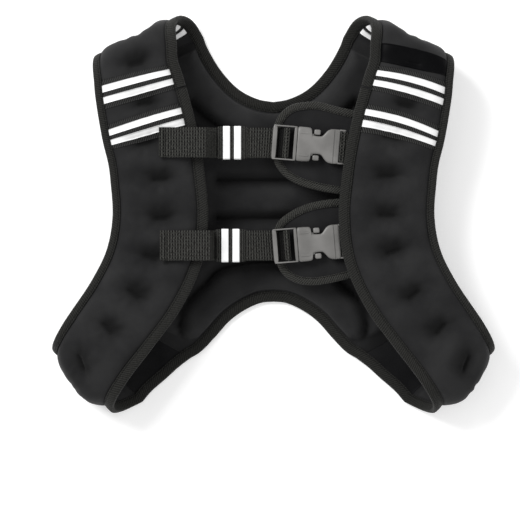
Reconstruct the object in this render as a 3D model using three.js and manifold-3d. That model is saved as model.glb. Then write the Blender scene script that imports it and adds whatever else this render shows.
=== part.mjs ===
// A padded training vest with weights sewn into its panels, buckled and lying on its back.
// +X is the viewer's right, +Y points to the shoulders, +Z up. Lengths in millimetres.
// "left" and "right" are the viewer's. The left side is modelled and mirrored to the right.
import * as THREE from 'three';
import Module from 'manifold-3d';
import { mergeVertices } from 'three/addons/utils/BufferGeometryUtils.js';

const wasm = await Module();
wasm.setup();

// Overall size of the vest as it lies
const VEST_WIDTH = 439;
const VEST_HEIGHT = 402;

// Padded panels: half thicknesses over the sewn-flat edge cloth, and the way they lie
const CLOTH = 3;
const PAD_OUTSIDE = 10;
const PAD_INSIDE = 7;
const BACK_TOP = 17;
const FOLD_RADIUS = 26;
const PANEL_SAG = 8;
const REST_CLEARANCE = 0.4;
const GAP = 0.3;

// Tufts that divide the front panels into weight pockets
const TUFT_PITCH = 40.5;
const TUFT_RADIUS = 14;
const TUFT_DEPTH = 0.5;
const SEAM_FLAT = 7;
const SEAM_FADE = 18;

// Quilting valleys of the back panel
const VALLEY_DEPTH = 7;
const VALLEY_WIDTH = 8;
const BACK_SHOULDER = 16;

// Edge bindings: tape thickness, how far it stands out and its widths on the cloth
const BINDING_TAPE = 1;
const BINDING_GAP = 0.4;
const BINDING_STAND = 1.4;
const ARMHOLE_BINDING = 6.5;
const INNER_BINDING = 9.5;
const FLAP_BINDING = 6.5;

// Reflective tapes across the shoulders
const TAPE_WIDTH = 26.8;
const STRIPE_WIDTH = 6.2;
const STRIPE_GAP = 4.4;
const TAPE_THICKNESS = 0.5;
const STRIPE_THICKNESS = 0.3;
const INNER_TAPE_WIDTH = 20;
const INNER_TAPE_FROM_SEAM = 20;

// Chest straps
const WEBBING_WIDTH = 30;
const WEBBING = 1.4;
const LAYER_PITCH = 2;
const STRAP_ROOT = 9;
const KEEPER_LENGTH = 30;
const KEEPER_WALL = 1.1;
const KEEPER_STRIPE = 7;
const KEEPER_STRIPE_PITCH = 11;
const KEEPER_DROP = 4.5;
const TAIL_HEM = 4.5;

// Side-release buckles
const BUCKLE_WIDTH = 34.6;
const END_LOOP_HALF = 1.4;
const FEMALE_LENGTH = 48;
const FEMALE_HALF = 4;
const FEMALE_WALL = 1.4;
const MALE_LENGTH = 24.8;
const MALE_HALF = 2.6;
const MALE_RAIL = 1.3;
const BAR_HALF = 1;
const BUTTON_LENGTH = 8;
const WAIST_WIDTH = 18;

// Places as shares: across from the middle line by half the width, up by the height
const FOLD_LINES = {
  shoulder: { outer: [0.804, 0.905], inner: [0.444, 0.999], lean: 17.5, side: 1 },
  waist: { outer: [0.982, 0.147], inner: [0.717, -0.005], lean: 16.5, side: -1 },
};

// Rows across the front panel laid flat, from the shoulder down to the waist fold
const PANEL_ROWS = [
  { name: 'label top', outer: [0.821, 0.878], inner: [0.447, 0.933] },
  { name: 'label bottom', outer: [0.812, 0.842], inner: [0.442, 0.888] },
  { name: 'upper tape', outer: [0.804, 0.795], inner: [0.421, 0.852] },
  { name: 'lower tape', outer: [0.772, 0.689], inner: [0.371, 0.756] },
  { name: 'chest', outer: [0.745, 0.627], inner: [0.335, 0.664] },
  { name: 'upper chest', outer: [0.736, 0.585], inner: [0.317, 0.595] },
  { name: 'middle', outer: [0.727, 0.498], inner: [0.303, 0.498] },
  { name: 'ribs', outer: [0.754, 0.415], inner: [0.330, 0.386] },
  { name: 'upper waist', outer: [0.822, 0.338], inner: [0.426, 0.271] },
  { name: 'waist', outer: [0.918, 0.259], inner: [0.554, 0.174] },
  { name: 'waist fold', outer: [0.954, 0.229], inner: [0.681, 0.082] },
];

// Free edges of the back, each from the left side to the middle line or downwards
const NECK_EDGE = [[0.326, 0.925], [0.253, 0.866], [0.162, 0.816], [0.071, 0.791], [0, 0.784]];
const HEM_EDGE = [[0.339, 0.162], [0.276, 0.197], [0.203, 0.241], [0.130, 0.269], [0.057, 0.286],
  [0, 0.289]];
const SIDE_HEM_EDGE = [[0.567, 0.062], [0.494, 0.097], [0.444, 0.122]];
const ARMHOLE_EDGE = [[0.585, 0.726], [0.554, 0.540], [0.617, 0.386]];
const WING_SEAM = { outer: [0.749, 0.256], inner: [0.387, 0.146] };

// Sewn valleys between the back panel's padded channels, left side to the middle line
const BACK_VALLEYS = [
  [[0.380, 0.781], [0.326, 0.754], [0.253, 0.726], [0.130, 0.699], [0, 0.689]],
  [[0.257, 0.592], [0, 0.592]],
  [[0.257, 0.495], [0, 0.495]],
  [[0.358, 0.182], [0.412, 0.189], [0.431, 0.221], [0.421, 0.261], [0.385, 0.294],
    [0.312, 0.333], [0.253, 0.366], [0.130, 0.383], [0, 0.386]],
];

// The two chest straps: turn is the buckle's turn in degrees, drop its depth in millimetres
// below the panel edges
const STRAPS = [
  { name: 'upper', up: 0.682, tail: 0.520, keeper: 0.189, bar: -0.060, turn: -4.5, drop: 4.5 },
  { name: 'lower', up: 0.4265, tail: 0.516, keeper: 0.196, bar: -0.064, turn: 4.5, drop: 6.2 },
];

// Outlines of the cloth flaps under the buckles, from the panel edge round and back to it
const FLAPS = [
  { name: 'upper', outline: [[-0.415, 0.757], [-0.376, 0.759], [-0.294, 0.769], [-0.203, 0.781],
    [-0.144, 0.781], [-0.084, 0.774], [-0.039, 0.756], [-0.007, 0.724], [0.002, 0.677],
    [-0.011, 0.632], [-0.052, 0.602], [-0.112, 0.582], [-0.203, 0.567], [-0.312, 0.557],
    [-0.353, 0.555]] },
  { name: 'lower', outline: [[-0.345, 0.541], [-0.297, 0.540], [-0.216, 0.535], [-0.144, 0.525],
    [-0.071, 0.505], [-0.021, 0.480], [0, 0.435], [-0.016, 0.388], [-0.048, 0.356],
    [-0.107, 0.336], [-0.180, 0.331], [-0.253, 0.336], [-0.353, 0.348], [-0.394, 0.350]] },
];

// Values that follow from the sizes above
const EDGE_HALF = CLOTH / 2;
const BINDING_INNER = EDGE_HALF + BINDING_GAP;
const BINDING_HALF = BINDING_INNER + BINDING_TAPE;
const BACK_LEVEL = REST_CLEARANCE + BINDING_HALF;
const FRONT_LEVEL = BACK_LEVEL + 2 * FOLD_RADIUS;
const ARMHOLE_FLAT = ARMHOLE_BINDING + 1;
const INNER_FLAT = INNER_BINDING + 1;
const UP = new THREE.Vector3(0, 0, 1);
const DOWN = new THREE.Vector3(0, 0, -1);

const plan = ([across, up]) => new THREE.Vector2(-across * VEST_WIDTH / 2, up * VEST_HEIGHT);
const lift = (p, z) => new THREE.Vector3(p.x, p.y, z);
const bump = (x, width) => Math.exp(-((x / width) ** 2));
const flip = (p) => new THREE.Vector3(-p.x, p.y, p.z);

// Solids

// A closed body from points and polygons, its faces turned outwards
function solid(points, polygons) {
  const raw = new THREE.BufferGeometry();
  raw.setAttribute('position', new THREE.BufferAttribute(
    new Float32Array(points.flatMap((p) => [p.x, p.y, p.z])), 3));
  raw.setIndex(polygons.flatMap((f) => f.slice(2).flatMap((_, k) => [f[0], f[k + 1], f[k + 2]])));
  const merged = mergeVertices(raw, 1e-4);
  const at = merged.attributes.position;
  const corner = (k) => new THREE.Vector3().fromBufferAttribute(at, merged.index.getX(k));
  const kept = [];
  let volume = 0;
  for (let k = 0; k < merged.index.count; k += 3) {
    const ids = [0, 1, 2].map((d) => merged.index.getX(k + d));
    if (new Set(ids).size < 3) continue;
    kept.push(ids);
    volume += corner(k).dot(corner(k + 1).cross(corner(k + 2)));
  }
  merged.setIndex(kept.flatMap((ids) => (volume < 0 ? ids.reverse() : ids)));
  return merged;
}

// The body between two equal grids of points, walled round its border
function gridSolid(over, under) {
  const rows = over.length;
  const columns = over[0].length;
  const points = [...over.flat(), ...under.flat()];
  const top = (r, c) => r * columns + c;
  const low = (r, c) => rows * columns + r * columns + c;
  const faces = [];
  for (let r = 0; r + 1 < rows; r += 1) {
    for (let c = 0; c + 1 < columns; c += 1) {
      faces.push([top(r, c), top(r, c + 1), top(r + 1, c + 1), top(r + 1, c)]);
      faces.push([low(r, c), low(r + 1, c), low(r + 1, c + 1), low(r, c + 1)]);
    }
    faces.push([top(r, 0), top(r + 1, 0), low(r + 1, 0), low(r, 0)]);
    const e = columns - 1;
    faces.push([top(r, e), low(r, e), low(r + 1, e), top(r + 1, e)]);
  }
  for (let c = 0; c + 1 < columns; c += 1) {
    faces.push([top(0, c), low(0, c), low(0, c + 1), top(0, c + 1)]);
    const e = rows - 1;
    faces.push([top(e, c), top(e, c + 1), low(e, c + 1), low(e, c)]);
  }
  return solid(points, faces);
}

function mirrored(geometry) {
  const points = [];
  const faces = [];
  const at = geometry.attributes.position;
  for (let k = 0; k < at.count; k += 1) {
    points.push(new THREE.Vector3(-at.getX(k), at.getY(k), at.getZ(k)));
  }
  for (let k = 0; k < geometry.index.count; k += 3) {
    faces.push([0, 1, 2].map((d) => geometry.index.getX(k + d)));
  }
  return solid(points, faces);
}

// A solid for joining and cutting, and the way back
function toManifold(geometry) {
  const bare = geometry.clone();
  bare.deleteAttribute('normal');
  bare.deleteAttribute('uv');
  const merged = mergeVertices(bare, 1e-4);
  return new wasm.Manifold(new wasm.Mesh({
    numProp: 3,
    vertProperties: new Float32Array(merged.attributes.position.array),
    triVerts: new Uint32Array(merged.index.array),
  }));
}

function fromManifold(body) {
  const mesh = body.getMesh();
  const geometry = new THREE.BufferGeometry();
  geometry.setAttribute('position', new THREE.BufferAttribute(mesh.vertProperties, 3));
  geometry.setIndex(new THREE.BufferAttribute(mesh.triVerts, 1));
  return geometry;
}

function box(x0, x1, halfY, z0, z1, middleY = 0) {
  const geometry = new THREE.BoxGeometry(x1 - x0, 2 * halfY, z1 - z0);
  return geometry.translate((x0 + x1) / 2, middleY, (z0 + z1) / 2);
}

// An outline in the XY plane given thickness about z = 0
function plate(outline, half, holes = [], bevel = 0) {
  const shape = new THREE.Shape(outline.map(([x, y]) => new THREE.Vector2(x, y)));
  for (const hole of holes) {
    shape.holes.push(new THREE.Path(hole.map(([x, y]) => new THREE.Vector2(x, y))));
  }
  const geometry = new THREE.ExtrudeGeometry(shape, {
    depth: 2 * (half - bevel), bevelEnabled: bevel > 0, bevelThickness: bevel,
    bevelSize: bevel, bevelOffset: -bevel, bevelSegments: 1, steps: 1,
  });
  return geometry.translate(0, 0, bevel - half);
}

// Curves

// A smooth line through plan points, cut into equal lengths
function smoothLine(points, steps) {
  const curve = new THREE.CatmullRomCurve3(points.map((p) => lift(p, 0)), false, 'centripetal');
  return curve.getSpacedPoints(steps).map((p) => new THREE.Vector2(p.x, p.y));
}

// Outward directions of a plan line whose cloth lies on the given side
function outwards(line, side) {
  return line.map((_, k) => {
    const before = line[Math.max(k - 1, 0)];
    const after = line[Math.min(k + 1, line.length - 1)];
    const along = after.clone().sub(before).normalize();
    return new THREE.Vector2(-along.y, along.x).multiplyScalar(side);
  });
}

function distanceToLine(p, line) {
  let best = Infinity;
  for (let k = 0; k + 1 < line.length; k += 1) {
    const span = line[k + 1].clone().sub(line[k]);
    const share = THREE.MathUtils.clamp(p.clone().sub(line[k]).dot(span) / span.lengthSq(), 0, 1);
    best = Math.min(best, p.distanceTo(line[k].clone().addScaledVector(span, share)));
  }
  return best;
}

// Folds: the flat panel is rolled half round a lying cylinder at each end

function makeFold({ outer, inner, lean, side }) {
  const from = plan(outer);
  const along = plan(inner).sub(from).normalize();
  const outward = new THREE.Vector2(-along.y, along.x).multiplyScalar(side);
  const origin = from.clone().addScaledVector(outward, -(FOLD_RADIUS + BINDING_HALF));
  const angle = THREE.MathUtils.degToRad(lean);
  const travel = outward.clone().multiplyScalar(Math.cos(angle))
    .addScaledVector(along, Math.sin(angle));
  const beyond = (q) => q.clone().sub(origin).dot(outward);
  const seamFrom = (q) => q.clone().addScaledVector(
    travel, (Math.PI * FOLD_RADIUS - beyond(q)) / Math.cos(angle));
  return { origin, outward, beyond, seamFrom };
}

const shoulderFold = makeFold(FOLD_LINES.shoulder);
const waistFold = makeFold(FOLD_LINES.waist);

// Where a point of the flat panel comes to lie, and the direction its outer face looks
function roll(q, sag) {
  for (const fold of [shoulderFold, waistFold]) {
    const beyond = fold.beyond(q);
    if (beyond > 0) {
      const angle = Math.min(beyond / FOLD_RADIUS, Math.PI);
      const rest = beyond - angle * FOLD_RADIUS;
      const reach = FOLD_RADIUS * Math.sin(angle) - rest - beyond;
      const p = q.clone().addScaledVector(fold.outward, reach);
      const normal = lift(fold.outward.clone().multiplyScalar(Math.sin(angle)), Math.cos(angle));
      return { point: lift(p, BACK_LEVEL + FOLD_RADIUS * (1 + Math.cos(angle)) - sag), normal };
    }
  }
  return { point: lift(q, FRONT_LEVEL - sag), normal: UP.clone() };
}

// Front panel: one padded ribbon from the back shoulder seam to the side seam

const outerEdge = PANEL_ROWS.map((row) => plan(row.outer));
const innerEdge = PANEL_ROWS.map((row) => plan(row.inner));
for (const edge of [outerEdge, innerEdge]) {
  edge.unshift(shoulderFold.seamFrom(edge[0]));
  edge.push(waistFold.seamFrom(edge[edge.length - 1]));
}
const [outerCurve, innerCurve] = [outerEdge, innerEdge].map((edge) =>
  new THREE.CatmullRomCurve3(edge.map((p) => lift(p, 0)), false, 'centripetal'));

function rowEnds(t) {
  const o = outerCurve.getPoint(t);
  const i = innerCurve.getPoint(t);
  return [new THREE.Vector2(o.x, o.y), new THREE.Vector2(i.x, i.y)];
}

// Length along the middle of the ribbon against the curve's own parameter
const SAMPLES = 800;
const ribbonLengths = [0];
for (let k = 1; k <= SAMPLES; k += 1) {
  const [a, b] = [(k - 1) / SAMPLES, k / SAMPLES].map((t) => {
    const [o, i] = rowEnds(t);
    return o.add(i).multiplyScalar(0.5);
  });
  ribbonLengths.push(ribbonLengths[k - 1] + a.distanceTo(b));
}
const RIBBON_LENGTH = ribbonLengths[SAMPLES];

function parameterAt(length) {
  let k = ribbonLengths.findIndex((value) => value >= length);
  k = k < 0 ? SAMPLES : Math.max(k, 1);
  const span = ribbonLengths[k] - ribbonLengths[k - 1];
  return (k - 1 + (length - ribbonLengths[k - 1]) / span) / SAMPLES;
}

function lengthAtRow(name) {
  const index = 1 + PANEL_ROWS.findIndex((row) => row.name === name);
  return ribbonLengths[Math.round(SAMPLES * index / (PANEL_ROWS.length + 1))];
}

// The stretch of ribbon between the two fold axes, measured on its middle line
const frontStretch = [shoulderFold, waistFold].map((fold, end) => {
  const inside = ribbonLengths.filter((_, k) => {
    const [o, i] = rowEnds(k / SAMPLES);
    return fold.beyond(o.add(i).multiplyScalar(0.5)) <= 0;
  });
  return end === 0 ? inside[0] : inside[inside.length - 1];
});

const tuftAnchor = lengthAtRow('middle');
const tuftLengths = [];
for (let k = -Math.ceil(tuftAnchor / TUFT_PITCH); k * TUFT_PITCH < RIBBON_LENGTH; k += 1) {
  const length = tuftAnchor + k * TUFT_PITCH;
  const margin = TUFT_PITCH / 2;
  if (length > margin && length < RIBBON_LENGTH - margin) tuftLengths.push(length);
}

// Rows that a tape and its two stripes need, from the tape's middle and width
function tapeRows(middle, width) {
  const half = STRIPE_GAP / 2;
  const offsets = [-width / 2, -half - STRIPE_WIDTH, -half, half, half + STRIPE_WIDTH, width / 2];
  return offsets.map((offset) => middle + offset);
}

const upperTapeRows = tapeRows(lengthAtRow('upper tape'), TAPE_WIDTH);
const lowerTapeRows = tapeRows(lengthAtRow('lower tape'), TAPE_WIDTH);
const innerTapeRows = tapeRows(INNER_TAPE_FROM_SEAM, INNER_TAPE_WIDTH);
const labelRows = [lengthAtRow('label top'), lengthAtRow('label bottom')];

const ribbonRows = (() => {
  const fixed = [0, SEAM_FLAT, ...innerTapeRows, ...labelRows, ...upperTapeRows, ...lowerTapeRows,
    RIBBON_LENGTH - SEAM_FLAT, RIBBON_LENGTH];
  const step = TUFT_PITCH / 4;
  const rows = [...fixed];
  for (let k = -Math.floor(tuftAnchor / step); tuftAnchor + k * step < RIBBON_LENGTH; k += 1) {
    const length = tuftAnchor + k * step;
    const rolled = length < frontStretch[0] || length > frontStretch[1];
    const clear = fixed.every((value) => Math.abs(value - length) > step / 2);
    if ((rolled || k % 2 === 0) && clear) rows.push(length);
  }
  return rows.sort((a, b) => a - b);
})();

const PAD_COLUMNS = [0, 0.13, 0.5, 0.87, 1];

function ribbonRow(length) {
  const [outer, inner] = rowEnds(parameterAt(length));
  const width = outer.distanceTo(inner);
  const padWidth = width - ARMHOLE_FLAT - INNER_FLAT;
  const front = THREE.MathUtils.clamp(
    (length - frontStretch[0]) / (frontStretch[1] - frontStretch[0]), 0, 1);
  const sag = PANEL_SAG * Math.sin(Math.PI * front) ** 2;
  const end = Math.min(length, RIBBON_LENGTH - length) - SEAM_FLAT;
  const fade = THREE.MathUtils.clamp(end / SEAM_FADE, 0, 1);
  const shares = [0, ...PAD_COLUMNS.map((f) => (ARMHOLE_FLAT + f * padWidth) / width), 1];
  return shares.map((share, c) => {
    const place = roll(outer.clone().lerp(inner, share), sag);
    const f = THREE.MathUtils.clamp((share * width - ARMHOLE_FLAT) / padWidth, 0, 1);
    const arch = Math.sqrt(1 - (2 * f - 1) ** 2) * Math.sqrt(1 - (1 - fade) ** 2);
    const tuft = Math.max(...tuftLengths.map((at) =>
      bump(Math.hypot(length - at, (f - 0.5) * padWidth), TUFT_RADIUS)));
    const swell = (c === 0 || c === shares.length - 1) ? 0 : arch * (1 - TUFT_DEPTH * tuft);
    const outside = place.point.clone().addScaledVector(
      place.normal, EDGE_HALF + (PAD_OUTSIDE - EDGE_HALF) * swell);
    const inside = place.point.clone().addScaledVector(
      place.normal, -EDGE_HALF - (PAD_INSIDE - EDGE_HALF) * swell);
    outside.z = Math.max(outside.z, 0);
    return { ...place, outside, inside };
  });
}

const ribbon = ribbonRows.map(ribbonRow);
const LAST = ribbon[0].length - 1;
const frontPanel = gridSolid(
  ribbon.map((row) => row.map((v) => v.outside)), ribbon.map((row) => row.map((v) => v.inside)));

// A thin layer over part of the ribbon's outer or inner face
function overlay(rows, face, from, to) {
  const picked = ribbonRows.flatMap((length, r) =>
    (length >= rows[0] - 1e-6 && length <= rows[rows.length - 1] + 1e-6 ? [ribbon[r]] : []));
  const sign = face === 'outside' ? 1 : -1;
  const layer = (height) => picked.map((row) => row.slice(1, LAST).map((v) =>
    v[face].clone().addScaledVector(v.normal, sign * height)));
  return gridSolid(layer(from), layer(to));
}

const tapeTop = GAP + TAPE_THICKNESS;
const stripeBase = tapeTop + GAP;

function tapeWithStripes(rows, face) {
  return {
    tape: overlay([rows[0], rows[5]], face, GAP, tapeTop),
    stripes: [[rows[1], rows[2]], [rows[3], rows[4]]].map((pair) =>
      overlay(pair, face, stripeBase, stripeBase + STRIPE_THICKNESS)),
  };
}

// Edge places for the bindings: the cloth's border, a point inside it and the faces' direction

const ribbonEdge = (row, edge, inset) => ({
  edge: row[edge].point, inset: row[inset].point, normal: row[edge].normal,
  insetNormal: row[inset].normal,
});
const outerPlaces = ribbon.map((row) => ribbonEdge(row, 0, 1));
const innerPlaces = ribbon.map((row) => ribbonEdge(row, LAST, LAST - 1));
const flipPlace = (place) => Object.fromEntries(
  Object.entries(place).map(([key, p]) => [key, flip(p)]));

function flatPlaces(line, directions, flat, level, normal) {
  return line.map((p, k) => ({
    edge: lift(p, level), inset: lift(p.clone().addScaledVector(directions[k], -flat), level),
    normal, insetNormal: normal,
  }));
}

const flatPoint = (place) => new THREE.Vector2(place.edge.x, place.edge.y);
const insetPoint = (place) => new THREE.Vector2(place.inset.x, place.inset.y);

// Back panel: a padded plate from shoulder seams and neck down to side seams and hem

const SEAM_STEPS = 4;
const EDGE_STEPS = 8;
const SIDE_STEPS = 15;
const seamShift = (p, fold) => p.clone().addScaledVector(fold.outward, -GAP);

const shoulderSeam = [outerPlaces[0], innerPlaces[0]].map((place) =>
  seamShift(flatPoint(place), shoulderFold));
const wingSeam = [plan(WING_SEAM.outer), plan(WING_SEAM.inner)];
const neckLine = smoothLine([shoulderSeam[1], ...NECK_EDGE.map(plan)], EDGE_STEPS);
const hemLine = smoothLine([wingSeam[1], ...HEM_EDGE.map(plan)], EDGE_STEPS);
const armholeLine = smoothLine(
  [shoulderSeam[0], ...ARMHOLE_EDGE.map(plan), wingSeam[0]], SIDE_STEPS);

const neckOut = outwards(neckLine, 1);
const hemOut = outwards(hemLine, -1);
const armholeOut = outwards(armholeLine, -1);
neckOut[EDGE_STEPS].set(0, 1);
hemOut[EDGE_STEPS].set(0, -1);
neckOut[0].copy(flatPoint(innerPlaces[0]).sub(insetPoint(innerPlaces[0])).normalize());
armholeOut[0].copy(flatPoint(outerPlaces[0]).sub(insetPoint(outerPlaces[0])).normalize());
const wingAlong = wingSeam[1].clone().sub(wingSeam[0]).normalize();
const wingOut = new THREE.Vector2(wingAlong.y, -wingAlong.x);

const neckPlaces = flatPlaces(neckLine, neckOut, INNER_FLAT, BACK_LEVEL, DOWN);
const hemPlaces = flatPlaces(hemLine, hemOut, INNER_FLAT, BACK_LEVEL, DOWN);
const armholePlaces = flatPlaces(armholeLine, armholeOut, ARMHOLE_FLAT, BACK_LEVEL, DOWN);

// Left half of a border line with its points inside, through the seam and along a free edge
function borderHalf(seam, seamOut, cornerInset, edgePlaces) {
  const half = [];
  for (let k = 0; k < SEAM_STEPS; k += 1) {
    const p = seam[0].clone().lerp(seam[1], k / SEAM_STEPS);
    const inner = cornerInset.clone().lerp(insetPoint(edgePlaces[0]), k / SEAM_STEPS);
    half.push({ rim: p, ring: inner.addScaledVector(seamOut, -SEAM_FLAT) });
  }
  edgePlaces.forEach((place, k) => {
    const ring = insetPoint(place);
    if (k === 0) ring.addScaledVector(seamOut, -SEAM_FLAT);
    half.push({ rim: flatPoint(place), ring });
  });
  return half;
}

function mirroredBorder(half) {
  const across = (p) => new THREE.Vector2(-p.x, p.y);
  const other = half.slice(0, -1).reverse().map(({ rim, ring }) => (
    { rim: across(rim), ring: across(ring) }));
  return [...half, ...other];
}

const topBorder = mirroredBorder(borderHalf(
  shoulderSeam, shoulderFold.outward, insetPoint(armholePlaces[0]), neckPlaces));
const lowBorder = mirroredBorder(borderHalf(
  wingSeam, wingOut, insetPoint(armholePlaces[SIDE_STEPS]), hemPlaces));
const COLUMNS = topBorder.length - 1;

// A point between the four border lines, blended from opposite sides
function blended(u, v, top, low, left, right) {
  const mix = (a, b, s) => a.clone().lerp(b, s);
  const sides = mix(left, right, u).add(mix(top, low, v));
  const corners = mix(mix(topBorder[0].ring, topBorder[COLUMNS].ring, u),
    mix(lowBorder[0].ring, lowBorder[COLUMNS].ring, u), v);
  return sides.sub(corners);
}

const backGrid = [];
for (let r = 0; r <= SIDE_STEPS; r += 1) {
  const v = r / SIDE_STEPS;
  const left = r === 0 ? topBorder[0].ring : r === SIDE_STEPS ? lowBorder[0].ring
    : insetPoint(armholePlaces[r]);
  const right = new THREE.Vector2(-left.x, left.y);
  backGrid.push(topBorder.map((_, c) => blended(
    c / COLUMNS, v, topBorder[c].ring, lowBorder[c].ring, left, right)));
}

const backRing = [...backGrid[0], ...backGrid.slice(1).map((row) => row[COLUMNS]),
  ...backGrid[SIDE_STEPS].slice(0, -1).reverse(),
  ...backGrid.slice(1, -1).reverse().map((row) => row[0])];
const backRim = [...topBorder.map((b) => b.rim),
  ...armholePlaces.slice(1, -1).map((place) => {
    const p = flatPoint(place);
    return new THREE.Vector2(-p.x, p.y);
  }), ...lowBorder.slice().reverse().map((b) => b.rim),
  ...armholePlaces.slice(1, -1).reverse().map(flatPoint)];
const ringLoop = [...backRing, backRing[0]];
const valleys = BACK_VALLEYS.flatMap((line) => {
  const left = line.map(plan);
  return [left, left.map((p) => new THREE.Vector2(-p.x, p.y))];
});

function backHeight(p) {
  const rise = THREE.MathUtils.clamp(distanceToLine(p, ringLoop) / BACK_SHOULDER, 0, 1);
  const arch = Math.sqrt(1 - (1 - rise) ** 2);
  const valley = Math.max(...valleys.map((line) => bump(distanceToLine(p, line), VALLEY_WIDTH)));
  const edge = BACK_LEVEL + EDGE_HALF;
  return edge + (BACK_TOP - edge) * arch - VALLEY_DEPTH * valley * arch;
}

const backPanel = (() => {
  const points = [];
  const faces = [];
  const add = (list) => list.map((p) => points.push(p) - 1);
  const rim = (z) => add(backRim.map((p) => lift(p, z)));
  const onRing = (r, c) => r === 0 || c === 0 || r === SIDE_STEPS || c === COLUMNS;
  const edgeTop = BACK_LEVEL + EDGE_HALF;
  const edgeLow = BACK_LEVEL - EDGE_HALF;
  const topGrid = backGrid.map((row, r) => add(row.map((p, c) =>
    lift(p, onRing(r, c) ? edgeTop : backHeight(p)))));
  const lowGrid = backGrid.map((row, r) => add(row.map((p, c) =>
    lift(p, onRing(r, c) ? edgeLow : 0))));
  const loopOf = (grid, inset) => {
    const [r1, c1] = [SIDE_STEPS - inset, COLUMNS - inset];
    return [...grid[inset].slice(inset, c1 + 1), ...grid.slice(inset + 1, r1 + 1).map((g) => g[c1]),
      ...grid[r1].slice(inset, c1).reverse(), ...grid.slice(inset + 1, r1).reverse().map((g) =>
        g[inset])];
  };
  const band = (a, b, upward) => a.forEach((_, k) => {
    const n = (k + 1) % a.length;
    faces.push(upward ? [a[k], b[k], b[n], a[n]] : [a[k], a[n], b[n], b[k]]);
  });
  const rimTop = rim(edgeTop);
  const rimLow = rim(edgeLow);
  band(rimTop, loopOf(topGrid, 0), true);
  band(rimLow, loopOf(lowGrid, 0), false);
  band(rimTop, rimLow, false);
  for (let r = 0; r < SIDE_STEPS; r += 1) {
    for (let c = 0; c < COLUMNS; c += 1) {
      const quad = (g) => [g[r][c], g[r + 1][c], g[r + 1][c + 1], g[r][c + 1]];
      faces.push(quad(topGrid));
      const border = r === 0 || c === 0 || r === SIDE_STEPS - 1 || c === COLUMNS - 1;
      if (border) faces.push(quad(lowGrid).reverse());
    }
  }
  const rest = loopOf(lowGrid, 1);
  const flat = rest.map((id) => new THREE.Vector2(points[id].x, points[id].y));
  for (const triangle of THREE.ShapeUtils.triangulateShape(flat, [])) {
    const ids = triangle.map((k) => rest[k]);
    const [a, b, c] = triangle.map((k) => flat[k]);
    const turn = b.clone().sub(a).cross(c.clone().sub(a));
    faces.push(turn > 0 ? ids.reverse() : ids);
  }
  return solid(points, faces);
})();

// Side panel: flat cloth between the waist fold's seam and the back panel's wing

const waistSeam = [outerPlaces, innerPlaces].map((places) =>
  seamShift(flatPoint(places[places.length - 1]), waistFold));
const sideEnd = [wingSeam[0], wingSeam[1]].map((p) => p.clone().addScaledVector(wingOut, GAP));
const SIDE_PANEL_STEPS = 5;
const sideHemLine = smoothLine(
  [waistSeam[1], ...SIDE_HEM_EDGE.map(plan), sideEnd[1]], SIDE_PANEL_STEPS);
const sideTopLine = smoothLine([waistSeam[0], sideEnd[0]], SIDE_PANEL_STEPS);
const sideGrid = sideTopLine.map((p, r) => [0, 1 / 3, 2 / 3, 1].map((s) =>
  p.clone().lerp(sideHemLine[r], s)));
const sidePanel = gridSolid(
  sideGrid.map((row) => row.map((p) => lift(p, BACK_LEVEL + EDGE_HALF))),
  sideGrid.map((row) => row.map((p) => lift(p, BACK_LEVEL - EDGE_HALF))));
const sideHemPlaces = flatPlaces(
  sideHemLine, outwards(sideHemLine, -1), INNER_FLAT, BACK_LEVEL, DOWN);
const sideTopPlaces = flatPlaces(
  sideTopLine, outwards(sideTopLine, 1), ARMHOLE_FLAT, BACK_LEVEL, DOWN);

// Bindings: tape folded over a cloth edge, a C in section

function binding(places, width, flat, closed = false) {
  const section = [[-width, BINDING_HALF], [BINDING_STAND, BINDING_HALF * 0.8],
    [BINDING_STAND, -BINDING_HALF * 0.8], [-width, -BINDING_HALF], [-width, -BINDING_INNER],
    [BINDING_GAP, -BINDING_INNER], [BINDING_GAP, BINDING_INNER], [-width, BINDING_INNER]];
  const points = places.flatMap(({ edge, inset, normal, insetNormal }) => {
    const out = edge.clone().sub(inset).normalize();
    return section.map(([x, y]) => {
      const back = Math.max(-x, 0) / flat;
      const n = normal.clone().lerp(insetNormal, back).normalize();
      return edge.clone().lerp(inset, back).addScaledVector(out, Math.max(x, 0))
        .addScaledVector(n, y);
    });
  });
  const size = section.length;
  const faces = [];
  const steps = closed ? places.length : places.length - 1;
  for (let s = 0; s < steps; s += 1) {
    const [a, b] = [s * size, ((s + 1) % places.length) * size];
    for (let k = 0; k < size; k += 1) {
      const n = (k + 1) % size;
      faces.push([a + k, a + n, b + n, b + k]);
    }
  }
  if (!closed) {
    for (const quad of [[0, 1, 6, 7], [1, 2, 5, 6], [2, 3, 4, 5]]) {
      faces.push(quad.slice().reverse());
      faces.push(quad.map((k) => k + (places.length - 1) * size));
    }
  }
  return solid(points, faces);
}

// The inner edge's tape is joined beside the upper reflective tape
const jointRow = ribbonRows.findIndex((length) => length >= upperTapeRows[5] - 1e-6);
const leftNeck = [...innerPlaces.slice(0, jointRow).reverse(), ...neckPlaces.slice(1)];
const neckBinding = [...leftNeck, ...leftNeck.slice(0, -1).reverse().map(flipPlace)];
const leftHem = [...innerPlaces.slice(jointRow), ...sideHemPlaces.slice(1, -1),
  ...hemPlaces];
const hemBinding = [...leftHem, ...leftHem.slice(0, -1).reverse().map(flipPlace)];
const armholeBinding = [...outerPlaces, ...sideTopPlaces.slice(1, -1),
  ...armholePlaces.slice(1).reverse()];

// Chest straps

// Place of the front panel's inner edge at a height on the vest
function panelEdgeAt(y) {
  const k = innerPlaces.findIndex((place, n) => n > 0 && place.normal.z > 0.999
    && place.edge.y <= y && innerPlaces[n - 1].edge.y > y);
  const [a, b] = [innerPlaces[k - 1].edge, innerPlaces[k].edge];
  return a.clone().lerp(b, (a.y - y) / (a.y - b.y));
}

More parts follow.
